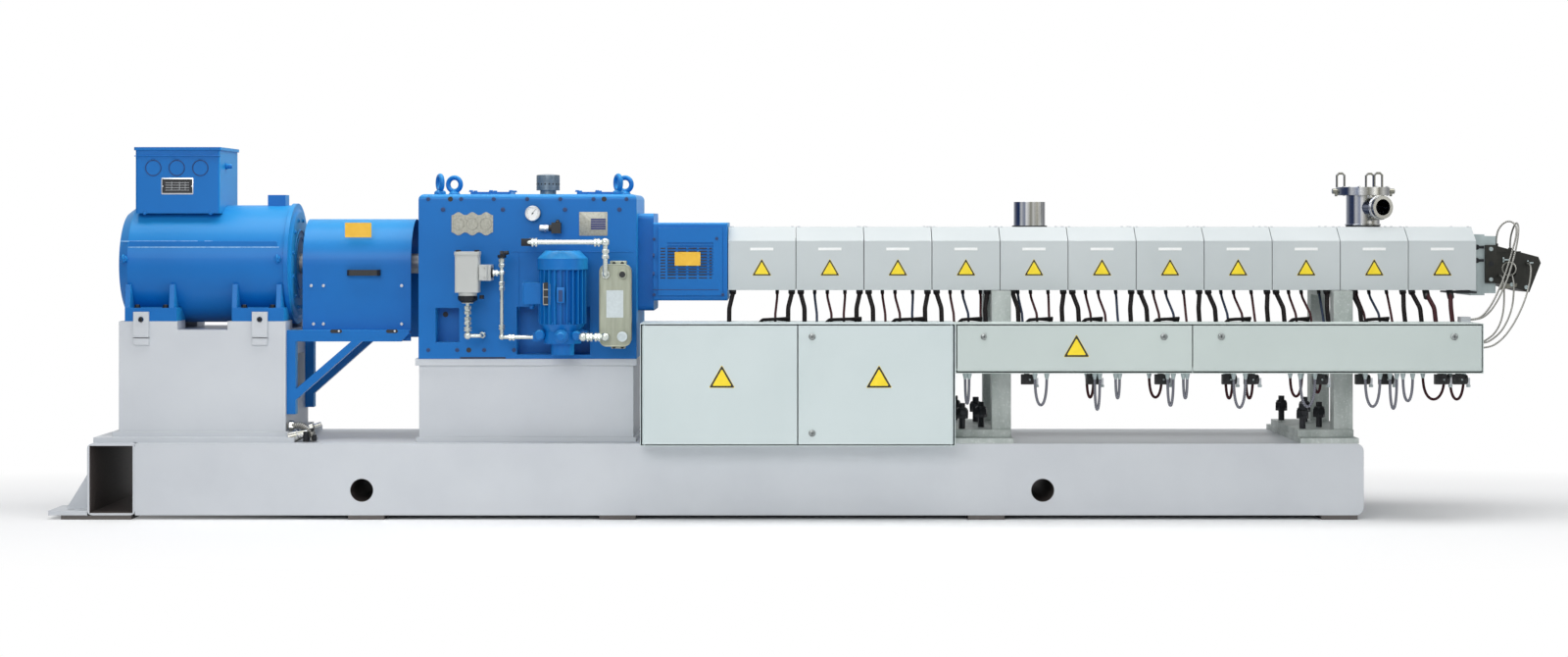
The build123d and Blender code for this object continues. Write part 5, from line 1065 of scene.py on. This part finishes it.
def dressValves(facts):
    bottom, span, y = facts["bottom"], facts["span"], facts["plane"]
    cone = ((11, 0), (11, 10), (7, 26), (6.4, 30))
    cones, dark, light = [], [], []
    for name, plane, sleeve in (("red", -378, redSleeve), ("grey", -465, greySleeve)):
        loops = []
        for start, width, share in facts[name]:
            left = facts["left"] + start * span
            right = left + width * span
            route = hangingLoop(left, right, plane, bottom, share * facts["height"])
            loops.append((tube, route, facts["hose"], 14))
            cones += [(turned, cone, (x, plane, bottom), downward) for x in (left, right)]
        draw(name + "Loops", sleeve, loops, replaced="valve_loops_" + name)
    draw("loopCones", zinc, cones)
    coil = [(0, 0), (20, 0), (21.5, 3), (21.5, 11), (18, 15), (0, 16)]
    for share in facts["shares"]:
        x = facts["left"] + share * span
        dark += [(lathe, coil, (x + 24, y, 609), along, 32)]
        dark += [(slab, (x - 25.5, y - 19.5, z), (x + 23, y - 17, z + 3), 0.6) for z in (592, 600, 618, 626)]
        dark += [(slab, (x - 8, y - 21, 604), (x + 8, y - 17, 616), 1)]
        light += [
            (turned, ((13, 0), (13, 4), (10, 6), (10, 12)), (x, y, bottom), downward),
            (hexNut, (x + 44, y, 586), downward, 9, 10),
            (capScrew, (x + 12, y - 18, 609), toViewer, 4, 3),
        ]
    draw("valveHeads", plastic, dark)
    draw("valveNecks", zinc, light)


# die end: cheeks, screws, heater clips, adapter bolts, and the bright strip and ring on each side
dieFacts = {"face": 140, "adapterFace": 125, "cheekLeft": 3843, "cheekRight": 3893}


def dressDie(facts):
    face, adapter, left, right = (facts[key] for key in ("face", "adapterFace", "cheekLeft", "cheekRight"))
    steps = {name: [] for name in ("cheeks", "screws", "bolts", "trim")}
    for side in flanks:
        outward, y, outer = (0, side, 0), side * face, side * (face + 6)
        steps["cheeks"] += [
            (slab, (left, side * adapter, 1020), (right, y, 1190), 1.5),
            (slab, (right, y - side * 0.5, 1158), (4000, y + side, 1162), 0.5),
        ]
        for x, z in ((3867.6, 1171.6), (3867.6, 1036.6), (4024.5, 1001.7), (3960, 1014)):
            steps["screws"].append((capScrew, (x, y, z), outward, 9, 3))
        for x, z in ((3922, 1124), (4030, 1110.6)):
            steps["screws"] += [
                (slab, (x - 3, y, z - 11), (x + 3, outer, z + 11), 1),
                (slab, (x - 3, y, z - 3), (x + 24, outer, z + 3), 1),
            ]
        steps["bolts"].append((disc, 11, 0.8, (3867.6, y, 1106), outward, 32))
        for z in (1180, 1121):
            steps["bolts"] += [
                (slab, (3802, side * adapter, z - 6), (3838, side * (adapter + 8), z + 6), 1),
                (hexHead, (3806, side * (adapter + 8), z), outward, 9, 6),
            ]
        steps["trim"] += [
            (plate, ((3905, 989), (3981, 1004), (3984, 1019), (3905, 1017)), y + side * 0.6, side * -0.6),
            (lathe, [(27, -30), (30, 0), (33, 0.8), (27, 1.2)], (3948, y, 1084), outward, 44),
        ]
    draw("dieCheeks", blackened, steps["cheeks"])
    draw("dieScrews", zinc, steps["screws"])
    draw("adapterBolts", darkScrew, steps["bolts"])
    draw("dieTrim", polished, steps["trim"])


# vacuum port: hinge knobs, swing bolts and clamp rings; foot rings of both vents
portFacts = {
    "x": 3328, "flange": 1430, "foot": 1272, "outlet": 1357, "outward": (0.342, -0.9397, 0),
    "bore": 64, "vent": 1828,
}


def dressPort(facts):
    x, flange, foot, bore = (facts[key] for key in ("x", "flange", "foot", "bore"))
    outward, outlet = Vector(facts["outward"]), Vector((x, 0, facts["outlet"]))
    steps = [
        (ringBead, outlet + outward * distance, outward, radius, wire, 56, 12)
        for distance, radius, wire in ((126, 46, 5), (143, 51, 5))
    ]
    steps.append((tube, [(x + 14, -104, 1300), (x + 84, -86, 1312)], 4, 12))
    for side in flanks:
        knob = x + side * 118
        steps += [
            (turned, ((12, 0), (12, 20), (9, 23)), (knob, -8, flange), (side, 0, 0), 28),
            (disc, 9, 10, (knob, -8, flange - 14), (side, 0, 0)),
        ]
    for angle in (-70, -110, -30, -150, 70, 110):
        turn = math.radians(angle)
        boltX, boltY = x + 112 * math.cos(turn), 112 * math.sin(turn)
        steps += [
            (tube, [(boltX, boltY, flange - 22), (boltX, boltY, flange + 22)], 4, 12),
            (hexNut, (boltX, boltY, flange + 12), upward, 9, 9),
        ]
    steps.append((ringBead, (x, 0, foot + 8), upward, bore + 12, 3.5, 64, 10))
    draw("portTrim", polished, steps)
    draw("portSeals", inkBlack, [
        (ringBead, (x, 0, foot + 1), upward, bore + 10, 3, 64, 8),
        (ringBead, (facts["vent"], 0, foot + 1), upward, bore + 12, 3, 64, 8),
    ])


# stands: black jack nuts; drive pedestal: water fittings and braided drop hose
floorFacts = {"stations": (1678, 3178), "studs": ((-170, 250), (-80, 165)), "nutHeight": 438}


def dressFloorPieces(facts):
    nuts, z = [], facts["nutHeight"]
    for station in facts["stations"]:
        for x, y in [(station + x, side * y) for x, y in facts["studs"] for side in flanks]:
            nuts += [
                (hexNut, (x, y, z), upward, 29, 30),
                (hexHead, (x, y, z + 34), upward, 15, 18),
                (disc, 24, 4, (x, y, z + 30), upward, 28),
            ]
    draw("jackNuts", darkScrew, nuts)
    route = ((-1460, -250, 395), (-1400, -262, 398), (-1350, -290, 372), (-1345, -296, 334))
    draw("dropHose", leadBraid, [(pipe, route, 26, 15, 24)], replaced="water_hose")
    draw("waterFittings", polished, [
        (hexNut, (-1458, -250, 395), (1, 0.1, 0), 23, 26),
        (hexNut, (-1345, -296, 333), upward, 23, 18),
        (turned, ((27, 0), (24, 30), (15, 78), (12, 84)), (-1440, -318, 349), (1, -0.1, 0.28), 40),
        (hexNut, (-1352, -326, 392), (0.9, 0, 0.4), 19, 20),
        (hexNut, (-1386, -330, 352), (0.4, 0, 1), 17, 18),
        (disc, 11, 30, (-1330, -322, 398), (0.9, 0, 0.3)),
        (ringBead, (-1400, -320, 362), (1, -0.1, 0.28), 24, 3, 36, 10),
    ])
    draw("waterTaps", darkScrew, [
        (turned, ((13, 0), (13, 40), (9, 44)), (-1366, -338, 334), upward),
        (disc, 10, 26, (-1330, -336, 336), upward, 20),
    ])


dressHollows(hollowFacts)
dressLantern(lanternFacts)
dressCovers(coverFacts)
dressDoors(doorFacts)
dressZones(zoneFacts)
dressValves(valveFacts)
dressDie(dieFacts)
dressPort(portFacts)
dressFloorPieces(floorFacts)
print("barrel side dressed")


# floor, world and lamps
def paleFloor():
    # matt white studio floor that keeps the shadow near the line and turns pure white far from it
    material, tree, shader = newMaterial("paleFloor", Roughness=0.9, Base_Color=linear("#F6F6F6"))
    reach = addNode(tree, "VectorMath", {0: bodyPlace(tree), 1: (0.25, 0.7, 0.0)}, operation="MULTIPLY")
    distance = addNode(tree, "VectorMath", {0: reach.outputs[0]}, operation="LENGTH")
    fade = mapped(tree, distance.outputs["Value"], 0.6, 1.6)
    glow = addNode(tree, "Emission", {"Color": (1, 1, 1, 1), "Strength": 1.0})
    show = combined(tree, "MULTIPLY", fade, addNode(tree, "LightPath").outputs["Is Camera Ray"])
    mixed = addNode(tree, "MixShader", {0: show, 1: shader.outputs[0], 2: glow.outputs[0]})
    tree.links.new(mixed.outputs[0], tree.nodes["Material Output"].inputs["Surface"])
    return material


def addStage():
    shape = bmesh.new()
    bmesh.ops.create_grid(shape, x_segments=1, y_segments=1, size=60)
    mesh = bpy.data.meshes.new("floor")
    shape.to_mesh(mesh)
    shape.free()
    mesh.materials.append(paleFloor())
    floor = linkObject(bpy.data.objects.new("floor", mesh))
    floor.location = (0.9, 0, -0.0005)


def addWorld(strength, mirrorShare=0.75):
    # white behind the line and in clear glass, softer in reflections, bluish as a light
    world = bpy.data.worlds.new("studio")
    bpy.context.scene.world = world
    world.use_nodes = True
    tree = world.node_tree
    tree.nodes.clear()
    ambient = addNode(tree, "Background", {"Color": linear("#F4F7FB"), "Strength": strength})
    white = addNode(tree, "Background", {"Color": (1, 1, 1, 1), "Strength": 1.0})
    seen = addNode(tree, "LightPath").outputs
    direct = combined(tree, "MAXIMUM", seen["Is Camera Ray"], seen["Is Transmission Ray"])
    mirrored = combined(tree, "MULTIPLY", seen["Is Glossy Ray"], mirrorShare)
    share = combined(tree, "MAXIMUM", direct, mirrored)
    mixed = addNode(tree, "MixShader", {0: share, 1: ambient.outputs[0], 2: white.outputs[0]})
    addNode(tree, "OutputWorld", {"Surface": mixed.outputs[0]})


def addLamp(name, place, aim, size, power):
    lamp = bpy.data.lights.new(name, "AREA")
    lamp.shape = "RECTANGLE"
    lamp.size, lamp.size_y = size
    lamp.energy = power
    holder = linkObject(bpy.data.objects.new(name, lamp))
    holder.location = place
    holder.rotation_euler = (Vector(aim) - Vector(place)).to_track_quat("-Z", "Y").to_euler()


lighting = {"world": 0.34, "top": 340, "front": 250, "side": 70}
addStage()
addWorld(lighting["world"])
addLamp("topPanel", (0.8, -0.8, 6.2), (0.8, 0, 1.0), (9.0, 3.5), lighting["top"])
addLamp("frontPanel", (-1.5, -8.5, 4.2), (0.8, 0, 0.9), (6.0, 3.0), lighting["front"])
addLamp("sidePanel", (8.5, -5.0, 3.0), (2.0, 0, 1.0), (3.0, 3.0), lighting["side"])
bpy.context.scene.view_settings.view_transform = "Standard"
print("stage, world and lamps")
